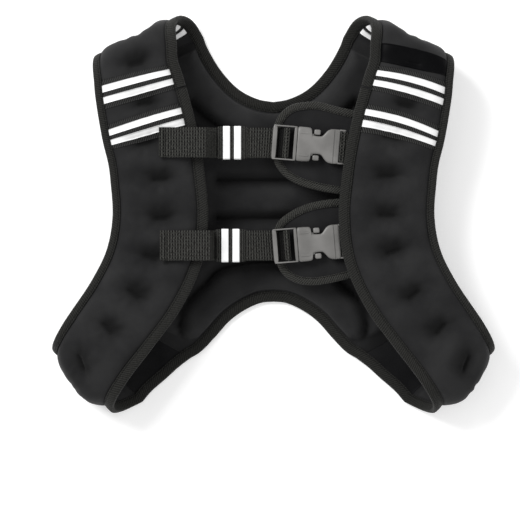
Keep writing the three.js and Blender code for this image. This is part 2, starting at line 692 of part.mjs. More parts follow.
// Height of the left front panel's outer face over a point, or nothing beside it
function panelTop(x, y) {
  const at = frontPanel.attributes.position;
  const p = new THREE.Vector3();
  const weights = new THREE.Vector3();
  let best = -Infinity;
  for (let k = 0; k < frontPanel.index.count; k += 3) {
    const corners = [0, 1, 2].map((d) =>
      new THREE.Vector3().fromBufferAttribute(at, frontPanel.index.getX(k + d)));
    const flat = corners.map((c) => new THREE.Vector3(c.x, c.y, 0));
    if (THREE.Triangle.getBarycoord(p.set(x, y, 0), ...flat, weights)
      && Math.min(weights.x, weights.y, weights.z) >= 0) {
      const z = weights.x * corners[0].z + weights.y * corners[1].z + weights.z * corners[2].z;
      best = Math.max(best, z);
    }
  }
  return best;
}

// A strap of webbing from its line in the XZ plane; k is the sideways slope of its crossing lines
function webbing(line, slope) {
  const outline = (side) => line.map(({ x, z, half }, k) => {
    const before = line[Math.max(k - 1, 0)];
    const after = line[Math.min(k + 1, line.length - 1)];
    const along = new THREE.Vector2(after.x - before.x, after.z - before.z).normalize();
    return { x: x - along.y * half * side, z: z + along.x * half * side, k: slope(x) };
  });
  const loop = [...outline(1), ...outline(-1).reverse()];
  const across = [-WEBBING_WIDTH / 2, WEBBING_WIDTH / 2];
  const points = across.flatMap((y) => loop.map((p) => new THREE.Vector3(p.x + p.k * y, y, p.z)));
  const count = loop.length;
  const faces = loop.map((_, k) => [k, (k + 1) % count, count + ((k + 1) % count), count + k]);
  for (let k = 0; k + 1 < line.length; k += 1) {
    const quad = [k, k + 1, count - 2 - k, count - 1 - k];
    faces.push(quad.slice().reverse());
    faces.push(quad.map((id) => id + count));
  }
  return solid(points, faces);
}

const WEB_HALF = WEBBING / 2;
const WRAP_STEPS = 6;
const WRAP_RADIUS = BAR_HALF * Math.SQRT2 + GAP / 2 + WEB_HALF;

// Half turn round a bar, from below to above, bulging to the given side, and a little further
function wrapPoints(x, z, side, further = 0) {
  return Array.from({ length: WRAP_STEPS + 1 + further }, (_, k) => {
    const angle = Math.PI * (k / WRAP_STEPS - 0.5);
    return { x: x + side * WRAP_RADIUS * Math.cos(angle), z: z + WRAP_RADIUS * Math.sin(angle),
      half: WEB_HALF };
  });
}

const TAIL_STEPS = 9;
const TAIL_PROBES = 7;
const BINDING_CLEAR = 3;

function chestStrap(strap) {
  const middle = plan([strap.bar, strap.up]);
  const edges = [-0.6, -0.3, 0, 0.3, 0.6].map((side) =>
    panelEdgeAt(middle.y + side * WEBBING_WIDTH));
  const border = Math.max(...edges.map((edge) => edge.x)) + BINDING_CLEAR;
  const lowest = Math.min(...edges.map((edge) => edge.z));
  const highest = Math.max(...edges.map((edge) => edge.z));
  const barLevel = lowest - strap.drop;
  const keeper = plan([strap.keeper, strap.up]).x;
  const tail = plan([strap.tail, strap.up]).x;
  const keeperLevel = lowest - KEEPER_DROP;
  const rootLevel = lowest - BINDING_HALF - GAP - WEB_HALF;
  const [near, far] = [keeper - KEEPER_LENGTH / 2 - 1, keeper + KEEPER_LENGTH / 2 + 1];
  const at = (x, z, half = WEB_HALF) => ({ x, z, half });
  const below = [at(edges[2].x - STRAP_ROOT, rootLevel), at(border, rootLevel),
    at(near, keeperLevel - LAYER_PITCH / 2), at(far, keeperLevel - LAYER_PITCH / 2)];
  const above = [at(far, keeperLevel + LAYER_PITCH / 2), at(near, keeperLevel + LAYER_PITCH / 2)];
  // Both layers pass under the frame's outer bar
  const underBar = barLevel - MALE_HALF - GAP - WEB_HALF;
  const [barLeft, barRight] = [middle.x + MALE_LEFT - 1, middle.x + MALE_WINDOW + 0.5];
  const under = [at(barLeft, underBar - LAYER_PITCH), at(barRight, underBar - LAYER_PITCH)];
  const back = [at(barRight, underBar), at(barLeft, underBar)];
  const over = [];
  const bindingTop = highest + BINDING_HALF + GAP + WEB_HALF;
  for (let k = 0; k <= TAIL_STEPS; k += 1) {
    const x = border + (tail - border) * k / TAIL_STEPS;
    let z = bindingTop;
    for (let n = 0; n < TAIL_PROBES; n += 1) {
      const y = middle.y + WEBBING_WIDTH * (n / (TAIL_PROBES - 1) - 0.5);
      for (const reach of [-2, 0, 2]) z = Math.max(z, panelTop(x + reach, y)
        + stripeBase + STRIPE_THICKNESS + GAP + WEB_HALF);
    }
    over.push(at(x, z));
  }
  // The tail is taut: it bridges the hollows between its high places
  for (let pass = 0; pass < 60; pass += 1) {
    for (let k = 1; k < TAIL_STEPS; k += 1) {
      over[k].z = Math.max(over[k].z, (over[k - 1].z + over[k + 1].z) / 2);
    }
  }
  const end = over[TAIL_STEPS];
  end.half = 2 * WEB_HALF;
  end.z += WEB_HALF;
  over.splice(TAIL_STEPS, 0, at(end.x + TAIL_HEM, over[TAIL_STEPS].z, 2 * WEB_HALF));
  const line = [...below, ...under, ...wrapPoints(middle.x, barLevel, 1, 2), ...back, ...above,
    ...over];
  const skew = -Math.tan(THREE.MathUtils.degToRad(strap.turn));
  const slope = (x) => skew * THREE.MathUtils.clamp((x - far) / (barLeft - far), 0, 1);
  const web = webbing(line, slope).translate(0, middle.y, 0);
  return { web, middle, barLevel, keeper, keeperLevel };
}

// Elastic keeper round both layers, as a tube along the strap
function keeperRing() {
  const inner = { y: WEBBING_WIDTH / 2 + GAP, z: LAYER_PITCH / 2 + WEB_HALF + GAP };
  const outer = { y: inner.y + KEEPER_WALL, z: inner.z + KEEPER_WALL };
  const ring = ({ y, z }) => [[-y, -z], [y, -z], [y, z], [-y, z]];
  const geometry = plate(ring(outer), KEEPER_LENGTH / 2, [ring(inner).reverse()]);
  geometry.rotateX(Math.PI / 2).rotateZ(Math.PI / 2);
  return { geometry, top: outer.z, width: outer.y };
}

const mirrorOutline = (half) => [...half.map(([x, y]) => [x, -y]),
  ...half.slice().reverse()];

// Buckle: the bar that the webbing wraps is the local origin, +X towards the female body

const HALF_WIDTH = BUCKLE_WIDTH / 2;
const WINDOW = HALF_WIDTH - MALE_RAIL;
const MALE_LEFT = -MALE_LENGTH + 10.3;
const MALE_RIGHT = 10.3;
const MALE_WINDOW = MALE_LEFT + 4.5;
const FEMALE_START = MALE_RIGHT + GAP;
const FEMALE_END = FEMALE_START + FEMALE_LENGTH;
const WAIST = WAIST_WIDTH / 2;
const CAVITY = WAIST + 3;
const NOTCH_START = FEMALE_START + 13.6;
const BUTTON_START = NOTCH_START + 1.5;
const BUTTON_END = BUTTON_START + BUTTON_LENGTH;
const BUTTON_HALF = HALF_WIDTH - 2;
const ARM = { near: 8.2, far: CAVITY - GAP };
const ARM_HALF = FEMALE_HALF - FEMALE_WALL - 2 * GAP;
const END_BAR = FEMALE_END - BAR_HALF - 1.5;
const SLOT_START = FEMALE_END - 6.5;

function maleBuckle() {
  const frame = mirrorOutline([[MALE_LEFT + 1.5, HALF_WIDTH - 2.2], [MALE_LEFT, 0.9 * HALF_WIDTH / 2]]
    .reverse().concat([[MALE_LEFT + 3, HALF_WIDTH], [MALE_RIGHT, HALF_WIDTH]]));
  const window = [[MALE_WINDOW, -WINDOW], [MALE_RIGHT - 3.3, -WINDOW],
    [MALE_RIGHT - 3.3, WINDOW], [MALE_WINDOW, WINDOW]].reverse();
  let body = toManifold(plate(frame, MALE_HALF, [window]));
  const parts = [box(-BAR_HALF, BAR_HALF, WINDOW + 0.5, -BAR_HALF, BAR_HALF),
    box(MALE_RIGHT - 1, BUTTON_END, 3, -ARM_HALF, ARM_HALF)];
  for (const side of [-1, 1]) {
    const arm = [[MALE_RIGHT - 1, ARM.near], [NOTCH_START, ARM.near],
      [BUTTON_START + 0.5, WAIST + 0.8], [BUTTON_END, WAIST + 0.8],
      [BUTTON_END, BUTTON_HALF - 1], [BUTTON_END - 1.5, BUTTON_HALF],
      [BUTTON_START + 1.5, BUTTON_HALF], [BUTTON_START, ARM.far], [MALE_RIGHT - 1, ARM.far]];
    const outline = arm.map(([x, y]) => [x, side * y]);
    parts.push(plate(side > 0 ? outline : outline.reverse(), ARM_HALF));
  }
  for (const part of parts) body = body.add(toManifold(part));
  return fromManifold(body);
}

function femaleBuckle() {
  const half = [[FEMALE_START, HALF_WIDTH - 0.8], [FEMALE_START + 1.5, HALF_WIDTH],
    [NOTCH_START - 2, HALF_WIDTH - 0.3], [NOTCH_START, HALF_WIDTH - 1.5],
    [NOTCH_START + 0.8, WAIST + 0.3], [BUTTON_END + 0.7, WAIST], [BUTTON_END + 3, WAIST + 3.5],
    [BUTTON_END + 7.5, HALF_WIDTH - 0.6], [BUTTON_END + 11, HALF_WIDTH],
    [FEMALE_END, HALF_WIDTH - 0.4]];
  let body = toManifold(plate(mirrorOutline(half), FEMALE_HALF, [], 0.9));
  const cavity = FEMALE_HALF - FEMALE_WALL;
  const slotHalf = WEBBING_WIDTH / 2 + 0.8;
  const reach = FEMALE_HALF + 1;
  const cuts = [box(FEMALE_START - 1, BUTTON_END + 2, CAVITY, -cavity, cavity),
    box(SLOT_START, END_BAR - BAR_HALF, slotHalf, -reach, reach),
    box(SLOT_START, FEMALE_END + 1, slotHalf, BAR_HALF, reach),
    box(SLOT_START, FEMALE_END + 1, slotHalf, -reach, -BAR_HALF),
    box(SLOT_START, FEMALE_END + 1, BUCKLE_WIDTH, END_LOOP_HALF, reach),
    box(SLOT_START, FEMALE_END + 1, BUCKLE_WIDTH, -reach, -END_LOOP_HALF),
    box(END_BAR + BAR_HALF, FEMALE_END + 1, slotHalf, -reach, reach)];
  for (const cut of cuts) body = body.subtract(toManifold(cut));
  return fromManifold(body);
}

// Webbing that ties the female body to the right panel, its doubled end under the edge binding
function anchorStrap(edgeX, drop) {
  const top = drop - BINDING_HALF - GAP;
  const low = -FEMALE_HALF;
  const endHalf = (top - low - GAP) / 4;
  const at = (x, z, half = WEB_HALF) => ({ x, z, half });
  const near = Math.max(edgeX + 1, END_BAR + WRAP_RADIUS + 1);
  const far = near + STRAP_ROOT - 1;
  const dive = edgeX - BINDING_STAND - 1;
  const line = [at(far, low + endHalf, endHalf), at(near, low + endHalf, endHalf),
    ...wrapPoints(END_BAR, 0, -1, 1), ...(dive > END_BAR + 1 ? [at(dive, top - WEB_HALF)] : []),
    at(near, top - endHalf, endHalf), at(far, top - endHalf, endHalf)];
  return webbing(line, () => 0);
}

// Flaps under the buckles

const FLAP_STEPS = 17;
const FLAP_DROOP = 3;

// A flap hangs a little from the panel edge, so it is made flat there and turned down
function flapPieces(flap) {
  const root = plan(flap.outline[0]);
  root.x = Math.max(...flap.outline.map((p) => plan(p).x));
  const line = smoothLine(flap.outline.map((p) => plan(p).sub(root)), FLAP_STEPS);
  const turn = outwards(line, -1);
  const places = flatPlaces(line, turn, FLAP_BINDING + 1, 0, DOWN);
  const outline = line.map((p) => [p.x, p.y]);
  const ordered = THREE.ShapeUtils.isClockWise(line) ? outline.reverse() : outline;
  return {
    root,
    cloth: plate(ordered, EDGE_HALF),
    edge: binding(places, FLAP_BINDING, FLAP_BINDING + 1),
  };
}

// Assembly

const finish = (color, roughness, metalness = 0) => ({ color, roughness, metalness });
const NEOPRENE = finish(0x1b1b1d, 0.85);
const TAPE = finish(0x24241f, 0.8);
const WEB = finish(0x2c2c2a, 0.8);
const TWILL = finish(0x35353a, 0.8);
const REFLECTIVE = finish(0xf2f2f0, 0.35);
const PLASTIC = finish(0x8c8c8e, 0.5);
const SATIN = finish(0x0c0c0e, 0.45);

const vest = new THREE.Group();

function add(name, geometry, look, parent = vest) {
  const mesh = new THREE.Mesh(geometry, new THREE.MeshStandardMaterial(look));
  mesh.name = name;
  parent.add(mesh);
  return mesh;
}

function addPair(name, geometry, look) {
  add(`${name}_left`, geometry, look);
  add(`${name}_right`, mirrored(geometry), look);
}

add('back_panel', backPanel, NEOPRENE);
addPair('front_panel', frontPanel, NEOPRENE);
addPair('side_panel', sidePanel, NEOPRENE);
add('neck_binding', binding(neckBinding, INNER_BINDING, INNER_FLAT), TAPE);
add('hem_binding', binding(hemBinding, INNER_BINDING, INNER_FLAT), TAPE);
addPair('armhole_binding', binding(armholeBinding, ARMHOLE_BINDING, ARMHOLE_FLAT, true), TAPE);

const tapes = { upper_tape: [upperTapeRows, 'outside'], lower_tape: [lowerTapeRows, 'outside'],
  inner_tape: [innerTapeRows, 'inside'] };
for (const [name, [rows, face]] of Object.entries(tapes)) {
  const { tape, stripes } = tapeWithStripes(rows, face);
  addPair(name, tape, TWILL);
  stripes.forEach((stripe, k) => addPair(`${name}_stripe_${k + 1}`, stripe, REFLECTIVE));
}
add('label_patch', mirrored(overlay(labelRows, 'outside', GAP, tapeTop)), SATIN);

for (const strap of STRAPS) {
  const { web, middle, barLevel, keeper, keeperLevel } = chestStrap(strap);
  add(`${strap.name}_chest_strap`, web, WEB);
  const ring = keeperRing();
  const sleeve = new THREE.Group();
  sleeve.position.set(keeper, middle.y, keeperLevel);
  vest.add(sleeve);
  add(`${strap.name}_keeper`, ring.geometry, WEB, sleeve);
  [-0.5, 0.5].forEach((side, k) => {
    const from = side * KEEPER_STRIPE_PITCH - KEEPER_STRIPE / 2;
    const stripe = box(from, from + KEEPER_STRIPE, ring.width, ring.top + GAP,
      ring.top + GAP + STRIPE_THICKNESS);
    add(`${strap.name}_keeper_stripe_${k + 1}`, stripe, REFLECTIVE, sleeve);
  });
  const buckle = new THREE.Group();
  buckle.position.set(middle.x, middle.y, barLevel);
  buckle.rotation.z = THREE.MathUtils.degToRad(strap.turn);
  vest.add(buckle);
  add(`${strap.name}_buckle_male`, maleBuckle(), PLASTIC, buckle);
  add(`${strap.name}_buckle_female`, femaleBuckle(), PLASTIC, buckle);
  const edge = panelEdgeAt(middle.y);
  add(`${strap.name}_anchor_strap`, anchorStrap(-edge.x - middle.x, strap.drop), WEB, buckle);
  const flap = FLAPS.find((entry) => entry.name === strap.name);
  const { root, cloth, edge: border } = flapPieces(flap);
  const hanging = new THREE.Group();
  hanging.position.set(root.x, root.y, barLevel - FEMALE_HALF - GAP - EDGE_HALF);
  hanging.rotation.y = -THREE.MathUtils.degToRad(FLAP_DROOP);
  vest.add(hanging);
  add(`${strap.name}_flap`, cloth, NEOPRENE, hanging);
  add(`${strap.name}_flap_binding`, border, TAPE, hanging);
}

// The origin is the middle of the box's underside
const bounds = new THREE.Box3().setFromObject(vest, true);
const middle = bounds.getCenter(new THREE.Vector3());
vest.position.set(-middle.x, -middle.y, -bounds.min.z);

export default vest;
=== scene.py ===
import bpy
import numpy as np
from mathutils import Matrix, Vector


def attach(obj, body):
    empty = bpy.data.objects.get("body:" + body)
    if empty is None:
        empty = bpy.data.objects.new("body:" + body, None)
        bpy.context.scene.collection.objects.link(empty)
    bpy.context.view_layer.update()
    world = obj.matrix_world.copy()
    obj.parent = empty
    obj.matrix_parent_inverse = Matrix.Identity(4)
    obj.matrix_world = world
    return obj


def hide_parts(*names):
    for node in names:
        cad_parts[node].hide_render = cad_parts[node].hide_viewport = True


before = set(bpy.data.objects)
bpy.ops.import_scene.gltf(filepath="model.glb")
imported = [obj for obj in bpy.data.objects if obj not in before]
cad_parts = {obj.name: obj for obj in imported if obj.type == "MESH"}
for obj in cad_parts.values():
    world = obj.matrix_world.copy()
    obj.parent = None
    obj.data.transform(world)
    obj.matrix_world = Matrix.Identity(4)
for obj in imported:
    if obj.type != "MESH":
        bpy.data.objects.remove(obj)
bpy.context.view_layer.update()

# Camera, straight above the vest with a long lens, so near and far parts keep one scale.
# The frame is 0.52 m wide at the height of the chest.
CAMERA_PLACE = (-0.0135, -0.0451)
CAMERA_HEIGHT = 4.0
VIEW_WIDTH = 0.52
CHEST_HEIGHT = 0.045
SENSOR_WIDTH = 36.0
CLIP_END = 50.0

camera_data = bpy.data.cameras.new("camera")
camera_data.sensor_width = SENSOR_WIDTH
camera_data.lens = SENSOR_WIDTH * (CAMERA_HEIGHT - CHEST_HEIGHT) / VIEW_WIDTH
camera_data.clip_end = CLIP_END
camera = bpy.data.objects.new("camera", camera_data)
camera.location = (*CAMERA_PLACE, CAMERA_HEIGHT)
bpy.context.scene.collection.objects.link(camera)
bpy.context.scene.camera = camera

# Front panels: one padded ribbon of neoprene a side, from the back's shoulder seam over the
# shoulder, down the front and round the waist to the side seam. Bar tacks sewn through the
# ribbon part its filling into pockets, and each end is folded half round.
VEST_WIDTH, VEST_HEIGHT = 439.0, 402.0
LAYOUT_MIDDLE = 202.06
CLOTH_HALF = 1.5
PAD_OUTSIDE, PAD_INSIDE = 10.0, 7.0
FOLD_RADIUS = 26.0
BACK_LEVEL, FRONT_LEVEL = 3.3, 55.3
PANEL_SAG = 8.0
ARMHOLE_FLAT, INNER_FLAT = 7.5, 10.5
SEAM_FLAT, SEAM_FADE = 7.0, 18.0
BINDING_HALF = 2.9
# Each fold's outermost line as shares, from the armhole side inwards, its lean in degrees and side
SHOULDER_FOLD = ((0.804, 0.905), (0.444, 0.999), 17.5, 1)
WAIST_FOLD = ((0.982, 0.147), (0.717, -0.005), 16.5, -1)
# The left ribbon's armhole edge and inner edge as shares, from the shoulder to the waist
PANEL_ROWS = np.array([
    [[0.821, 0.878], [0.447, 0.933]],
    [[0.812, 0.842], [0.442, 0.888]],
    [[0.804, 0.795], [0.421, 0.852]],
    [[0.772, 0.689], [0.371, 0.756]],
    [[0.745, 0.627], [0.335, 0.664]],
    [[0.736, 0.585], [0.317, 0.595]],
    [[0.727, 0.498], [0.303, 0.498]],
    [[0.754, 0.415], [0.330, 0.386]],
    [[0.822, 0.338], [0.426, 0.271]],
    [[0.918, 0.259], [0.554, 0.174]],
    [[0.954, 0.229], [0.681, 0.082]],
])
NECK_BULGE, BULGE_ANGLE, BULGE_SPREAD = 6.0, 135.0, 45.0


def spot(shares):
    """Plan place in mm: the share across times half the width, to the left of the middle line,
    and the share up times the height, less the height of the row's origin."""
    shares = np.asarray(shares, float)
    return shares * [-VEST_WIDTH / 2, VEST_HEIGHT] - [0, LAYOUT_MIDDLE]


def smooth_through(knots, t):
    """A curve through the knots at t from 0 to 1: each span is a cubic whose slopes at its ends
    weigh the spans beside it by the root of their lengths."""
    knots = np.vstack([2 * knots[0] - knots[1], knots, 2 * knots[-1] - knots[-2]])
    spans = len(knots) - 3
    k = np.minimum((t * spans).astype(int), spans - 1)
    s = (t * spans - k)[:, None]
    p0, p1, p2, p3 = (knots[k + n] for n in range(4))
    d0, d1, d2 = (np.sqrt(np.linalg.norm(b - a, axis=1))[:, None]
                  for a, b in ((p0, p1), (p1, p2), (p2, p3)))
    start = ((p1 - p0) / d0 - (p2 - p0) / (d0 + d1) + (p2 - p1) / d1) * d1
    end = ((p2 - p1) / d1 - (p3 - p1) / (d1 + d2) + (p3 - p2) / d2) * d1
    return (p1 + start * s + (3 * (p2 - p1) - 2 * start - end) * s ** 2
            + (2 * (p1 - p2) + start + end) * s ** 3)


def even_line(knots, count):
    """count places at equal lengths along the smooth curve through the knots."""
    dense = smooth_through(np.asarray(knots, float), np.linspace(0, 1, 3000))
    run = np.append(0, np.cumsum(np.linalg.norm(np.diff(dense, axis=0), axis=1)))
    at = np.linspace(0, run[-1], count)
    return np.stack([np.interp(at, run, dense[:, n]) for n in range(2)], axis=1)


def make_fold(outer, inner, lean, side):
    """A fold's start, the way out over it, and the ribbon's way of travel, leaned by an angle."""
    start, finish = spot(outer), spot(inner)
    along = (finish - start) / np.linalg.norm(finish - start)
    outward = side * np.array([-along[1], along[0]])
    angle = np.radians(lean)
    travel = outward * np.cos(angle) + along * np.sin(angle)
    return start - outward * (FOLD_RADIUS + BINDING_HALF), outward, travel / np.cos(angle)


folds = [make_fold(*SHOULDER_FOLD), make_fold(*WAIST_FOLD)]


def roll(flat, sag):
    """Where flat cloth comes to lie and which way its outer face looks. Beyond a fold's start
    by b, the cloth has turned b / R round a lying cylinder: R sin(angle) out, R cos(angle) up."""
    place = np.concatenate([flat, (FRONT_LEVEL - sag)[..., None]], axis=-1)
    normal = np.zeros_like(place)
    normal[..., 2] = 1
    for origin, outward, _ in folds:
        beyond = (flat - origin) @ outward
        angle = np.clip(beyond / FOLD_RADIUS, 0, np.pi)
        reach = FOLD_RADIUS * (np.sin(angle) + angle) - 2 * beyond
        turned = np.concatenate([
            flat + outward * reach[..., None],
            (BACK_LEVEL + FOLD_RADIUS * (1 + np.cos(angle)) - sag)[..., None]], axis=-1)
        facing = np.concatenate([outward * np.sin(angle)[..., None], np.cos(angle)[..., None]], -1)
        rolled = (beyond > 0)[..., None]
        place = np.where(rolled, turned, place)
        normal = np.where(rolled, facing, normal)
    return place, normal


def seam_end(knot, number):
    """A knot carried on along the ribbon's travel to where the fold has turned half round."""
    origin, outward, travel = folds[number]
    return knot + travel * (np.pi * FOLD_RADIUS - (knot - origin) @ outward)


edge_knots = [spot(PANEL_ROWS[:, n]) for n in range(2)]
edge_knots = [np.vstack([seam_end(k[0], 0), k, seam_end(k[-1], 1)]) for k in edge_knots]
dense_share = np.linspace(0, 1, 4001)
dense_edges = [smooth_through(k, dense_share) for k in edge_knots]
dense_middle = (dense_edges[0] + dense_edges[1]) / 2
dense_length = np.append(0, np.cumsum(np.linalg.norm(np.diff(dense_middle, axis=0), axis=1)))
RIBBON_LENGTH = dense_length[-1]


def length_at(row):
    """Length along the ribbon's middle line at a row of its edge table, part rows included."""
    return np.interp((row + 1) / (len(PANEL_ROWS) + 1), dense_share, dense_length)


front_part = dense_length[np.all([(dense_middle - o) @ w <= 0 for o, w, _ in folds], axis=0)]


def ribbon_faces(lengths, pad_shares, margins):
    """Outer and inner face of the ribbon as grids, lengths by shares across: the middle cloth's
    places and facings, and how a face's swell is arched over the pad's width like half an
    ellipse, faded to flat cloth at the end seams. Over the shoulder its neck side is eased
    outwards by a bell curve of the angle it has turned."""
    ends = [np.stack([np.interp(lengths, dense_length, e[:, n]) for n in range(2)], axis=1)
            for e in dense_edges]
    width = np.linalg.norm(ends[1] - ends[0], axis=1)[:, None]
    pad = width - ARMHOLE_FLAT - INNER_FLAT
    across = np.concatenate([
        margins * ARMHOLE_FLAT + 0 * width, ARMHOLE_FLAT + pad_shares * pad,
        width - margins[::-1] * INNER_FLAT], axis=1)
    share = (across / width)[..., None]
    flat = ends[0][:, None] * (1 - share) + ends[1][:, None] * share
    origin, outward, _ = folds[0]
    turned = np.degrees((flat - origin) @ outward / FOLD_RADIUS)
    bulge = NECK_BULGE * np.exp(-((turned - BULGE_ANGLE) / BULGE_SPREAD) ** 2) * share[..., 0] ** 2
    flat = flat + bulge[..., None] * [outward[1], -outward[0]]
    front = np.clip((lengths - front_part[0]) / (front_part[-1] - front_part[0]), 0, 1)
    sag = PANEL_SAG * np.sin(np.pi * front) ** 2
    place, normal = roll(flat, np.repeat(sag[:, None], across.shape[1], axis=1))
    f = np.clip((across - ARMHOLE_FLAT) / pad, 0, 1)
    fade = np.clip((np.minimum(lengths, RIBBON_LENGTH - lengths) - SEAM_FLAT) / SEAM_FADE, 0, 1)
    arch = np.sqrt(1 - (2 * f - 1) ** 2) * np.sqrt(1 - (1 - fade) ** 2)[:, None]
    return place, normal, arch, f, (f - 0.5) * pad, across


# Each tack's length along the ribbon, offset over its width, turn in degrees and pull
TACKS_LEFT = np.array([
    [43, 1, 5, 1.7], [84, 3, 0, 1], [124.7, 4, 10, 1], [163, -5, 5, 1], [201, 3.5, 0, 1],
    [240, 2.5, -4, 1], [280, -2, 10, 1], [321, -1, 22, 1], [364, -3, 25, 1], [408, -5, 25, 1],
    [437, 1, 15, 1],
])
TACKS_RIGHT = np.array([
    [43, 0, 0, 1.7], [84, 1, 4, 0.6], [125.5, 0, 6, 1], [160, 6, 2, 1], [198, 5, 4, 1],
    [237, 1.5, -3, 1], [274, 0, 12, 1], [322, -1, 20, 1], [364.5, -4, 25, 1], [409, -5, 24, 1],
    [441, 0, 12, 1.2],
])
TACK_LENGTH = 6.5
BOWL_DEPTH, BOWL_REACH = 5.4, 12.5
TROUGH_DEPTH, TROUGH_WIDTH = 1.5, 10
CREASE_DEPTH, CREASE_WIDTH, CREASE_END = 3.8, 1.8, 2.6
PLEAT_DEPTH, PLEATS_ROUND, PLEAT_PLACE, PLEAT_REACH = 0.5, 7, 9, 6
# Painted shade round each tack: how dark it is, how far it is shifted towards the shoulder and how far
# it reaches; then the same along the crease.
SHADE, SHADE_SHIFT, SHADE_REACH = 0.88, 4, 8.5
CREASE_SHADE, CREASE_SHADE_WIDTH, CREASE_SHADE_END = 0.7, 1.7, 2.8


def tack_dents(lengths, offsets, tacks):
    """How far cloth is pulled in, in mm, at each place: a wide soft bowl round every tack, a
    shallow trough over the whole width, a narrow crease along the thread, and small pleats that
    run out from its ends; and the painted shade laid into its colour round each tack and along
    the thread, heaviest on the shoulder's side, where the dimple turns from the lamp."""
    along = lengths[:, None, None] - tacks[:, 0]
    over = offsets[..., None] - tacks[:, 1]
    turn = np.radians(tacks[:, 2])
    x = over * np.cos(turn) + along * np.sin(turn)
    y = along * np.cos(turn) - over * np.sin(turn)
    x_past = np.maximum(np.abs(x) - TACK_LENGTH * 0.7, 0)
    reach = np.hypot(x_past, y)
    angle = np.arctan2(y, x)
    bowl = BOWL_DEPTH * np.exp(-(np.hypot(x_past * 0.7, y) / BOWL_REACH) ** 2)
    trough = TROUGH_DEPTH * np.exp(-(along / TROUGH_WIDTH) ** 2)
    crease = CREASE_DEPTH * np.exp(-(y / CREASE_WIDTH) ** 2 - (x_past / CREASE_END) ** 2)
    pleats = PLEAT_DEPTH * np.cos(PLEATS_ROUND * angle + tacks[:, 0]) * np.exp(
        -((reach - PLEAT_PLACE) / PLEAT_REACH) ** 2)
    shade = np.hypot(np.maximum(np.abs(x) - TACK_LENGTH * 0.9, 0), (y + SHADE_SHIFT) * 0.9)
    dark = SHADE * np.exp(-(shade / SHADE_REACH) ** 2) + CREASE_SHADE * np.exp(
        -(y / CREASE_SHADE_WIDTH) ** 2 - (x_past / CREASE_SHADE_END) ** 2)
    pull = tacks[:, 3]
    return (((bowl + trough + crease + pleats) * pull).sum(axis=-1),
            (dark * np.minimum(pull, 1)).sum(axis=-1))


def soft_waves(a, b, seed, size):
    """Low, slow unevenness from a few crossed sine waves of set directions and phases."""
    random = np.random.default_rng(seed)
    total = 0 * (a + b)
    for wave in range(7):
        way = random.uniform(0, 2 * np.pi)
        pitch = size * random.uniform(0.6, 1.7)
        shift = random.uniform(0, 2 * np.pi)
        total = total + np.sin(2 * np.pi * (a * np.cos(way) + b * np.sin(way)) / pitch + shift)
    return total / 7


def grid_faces(rows, columns, ring_rows=False, ring_columns=False):
    """Four-sided faces between neighbours of a grid, joined round where it is a ring."""
    r = np.arange(rows if ring_rows else rows - 1)[:, None]
    c = np.arange(columns if ring_columns else columns - 1)[None, :]
    n, m = (r + 1) % rows, (c + 1) % columns
    corners = [r * columns + c, r * columns + m, n * columns + m, n * columns + c]
    return np.stack(corners, axis=-1).reshape(-1, 4)


def turned_out(points, faces):
    """A closed body's faces turned outwards, by the sign of its volume."""
    a, b, c, d = (points[faces[:, n]] for n in range(4))
    volume = (a * np.cross(b, c)).sum() + (a * np.cross(c, d)).sum()
    return faces if volume > 0 else faces[:, ::-1]


def new_piece(name, points, faces, weave=None, material=None):
    """A piece from points in mm and faces. weave is the place of each point on the cloth, in
    metres along and across it."""
    faces = turned_out(points, faces)
    mesh = bpy.data.meshes.new(name)
    mesh.from_pydata((points * 0.001).tolist(), [], faces.tolist())
    mesh.polygons.foreach_set("use_smooth", np.ones(len(faces), bool))
    if weave is not None:
        layer = mesh.uv_layers.new(name="weave")
        layer.data.foreach_set("uv", weave[faces.ravel()].astype(np.float32).ravel())
    mesh.update()
    piece = bpy.data.objects.new(name, mesh)
    bpy.context.scene.collection.objects.link(piece)
    if material:
        mesh.materials.append(material)
    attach(piece, "root")
    return piece


def closed_loft(rings, closed_path=False):
    """Points and faces of a body from equal closed rings along a path. Open ends are capped by
    faces between a ring's first half and its second."""
    count, size = rings.shape[:2]
    faces = grid_faces(count, size, closed_path, True)
    if not closed_path:
        k = np.arange(size // 2 - 1)
        cap = np.stack([k, k + 1, size - 2 - k, size - 1 - k], axis=1)
        faces = np.vstack([faces, cap, (cap + (count - 1) * size)[:, ::-1]])
    return rings.reshape(-1, 3), faces


def mark_shade_paint(piece, values):
    """How much painted shade each point of a piece gets, from 0 to 1, as an attribute that darkens its
    colour.
    """
    shade_paint = piece.data.attributes.new("shade_paint", "FLOAT", "POINT")
    shade_paint.data.foreach_set("value", np.ravel(values).astype(np.float32))


def weave_node(name, inputs):
    """An empty node group with named inputs that puts out a height and a mask."""
    group = bpy.data.node_groups.new(name, "ShaderNodeTree")
    for key, value in inputs.items():
        socket = group.interface.new_socket(name=key, in_out="INPUT", socket_type="NodeSocketFloat")
        socket.default_value = value
    for key in ("Height", "Mask"):
        group.interface.new_socket(name=key, in_out="OUTPUT", socket_type="NodeSocketFloat")
    return group, group.nodes.new("NodeGroupInput"), group.nodes.new("NodeGroupOutput")


def add_node(tree, kind, values=(), links=(), **settings):
    """A node with its settings, plain input values and links from other sockets, by number."""
    node = tree.nodes.new(kind)
    for key, value in settings.items():
        setattr(node, key, value)
    for key, value in dict(values).items():
        node.inputs[key].default_value = value
    for key, source in dict(links).items():
        tree.links.new(source, node.inputs[key])
    return node


def maths(tree, operation, *terms, **settings):
    """What a maths node puts out for its terms, each a plain number or another socket."""
    node = add_node(tree, "ShaderNodeMath", operation=operation, **settings)
    for number, term in enumerate(terms):
        if isinstance(term, float):
            node.inputs[number].default_value = term
        else:
            tree.links.new(term, node.inputs[number])
    return node.outputs[0]


def object_place(group, given):
    """Object places, and the scale of a texture whose cells are as wide as the group's Pitch."""
    place = add_node(group, "ShaderNodeTexCoord").outputs["Object"]
    return place, maths(group, "DIVIDE", 1.0, given.outputs["Pitch"])


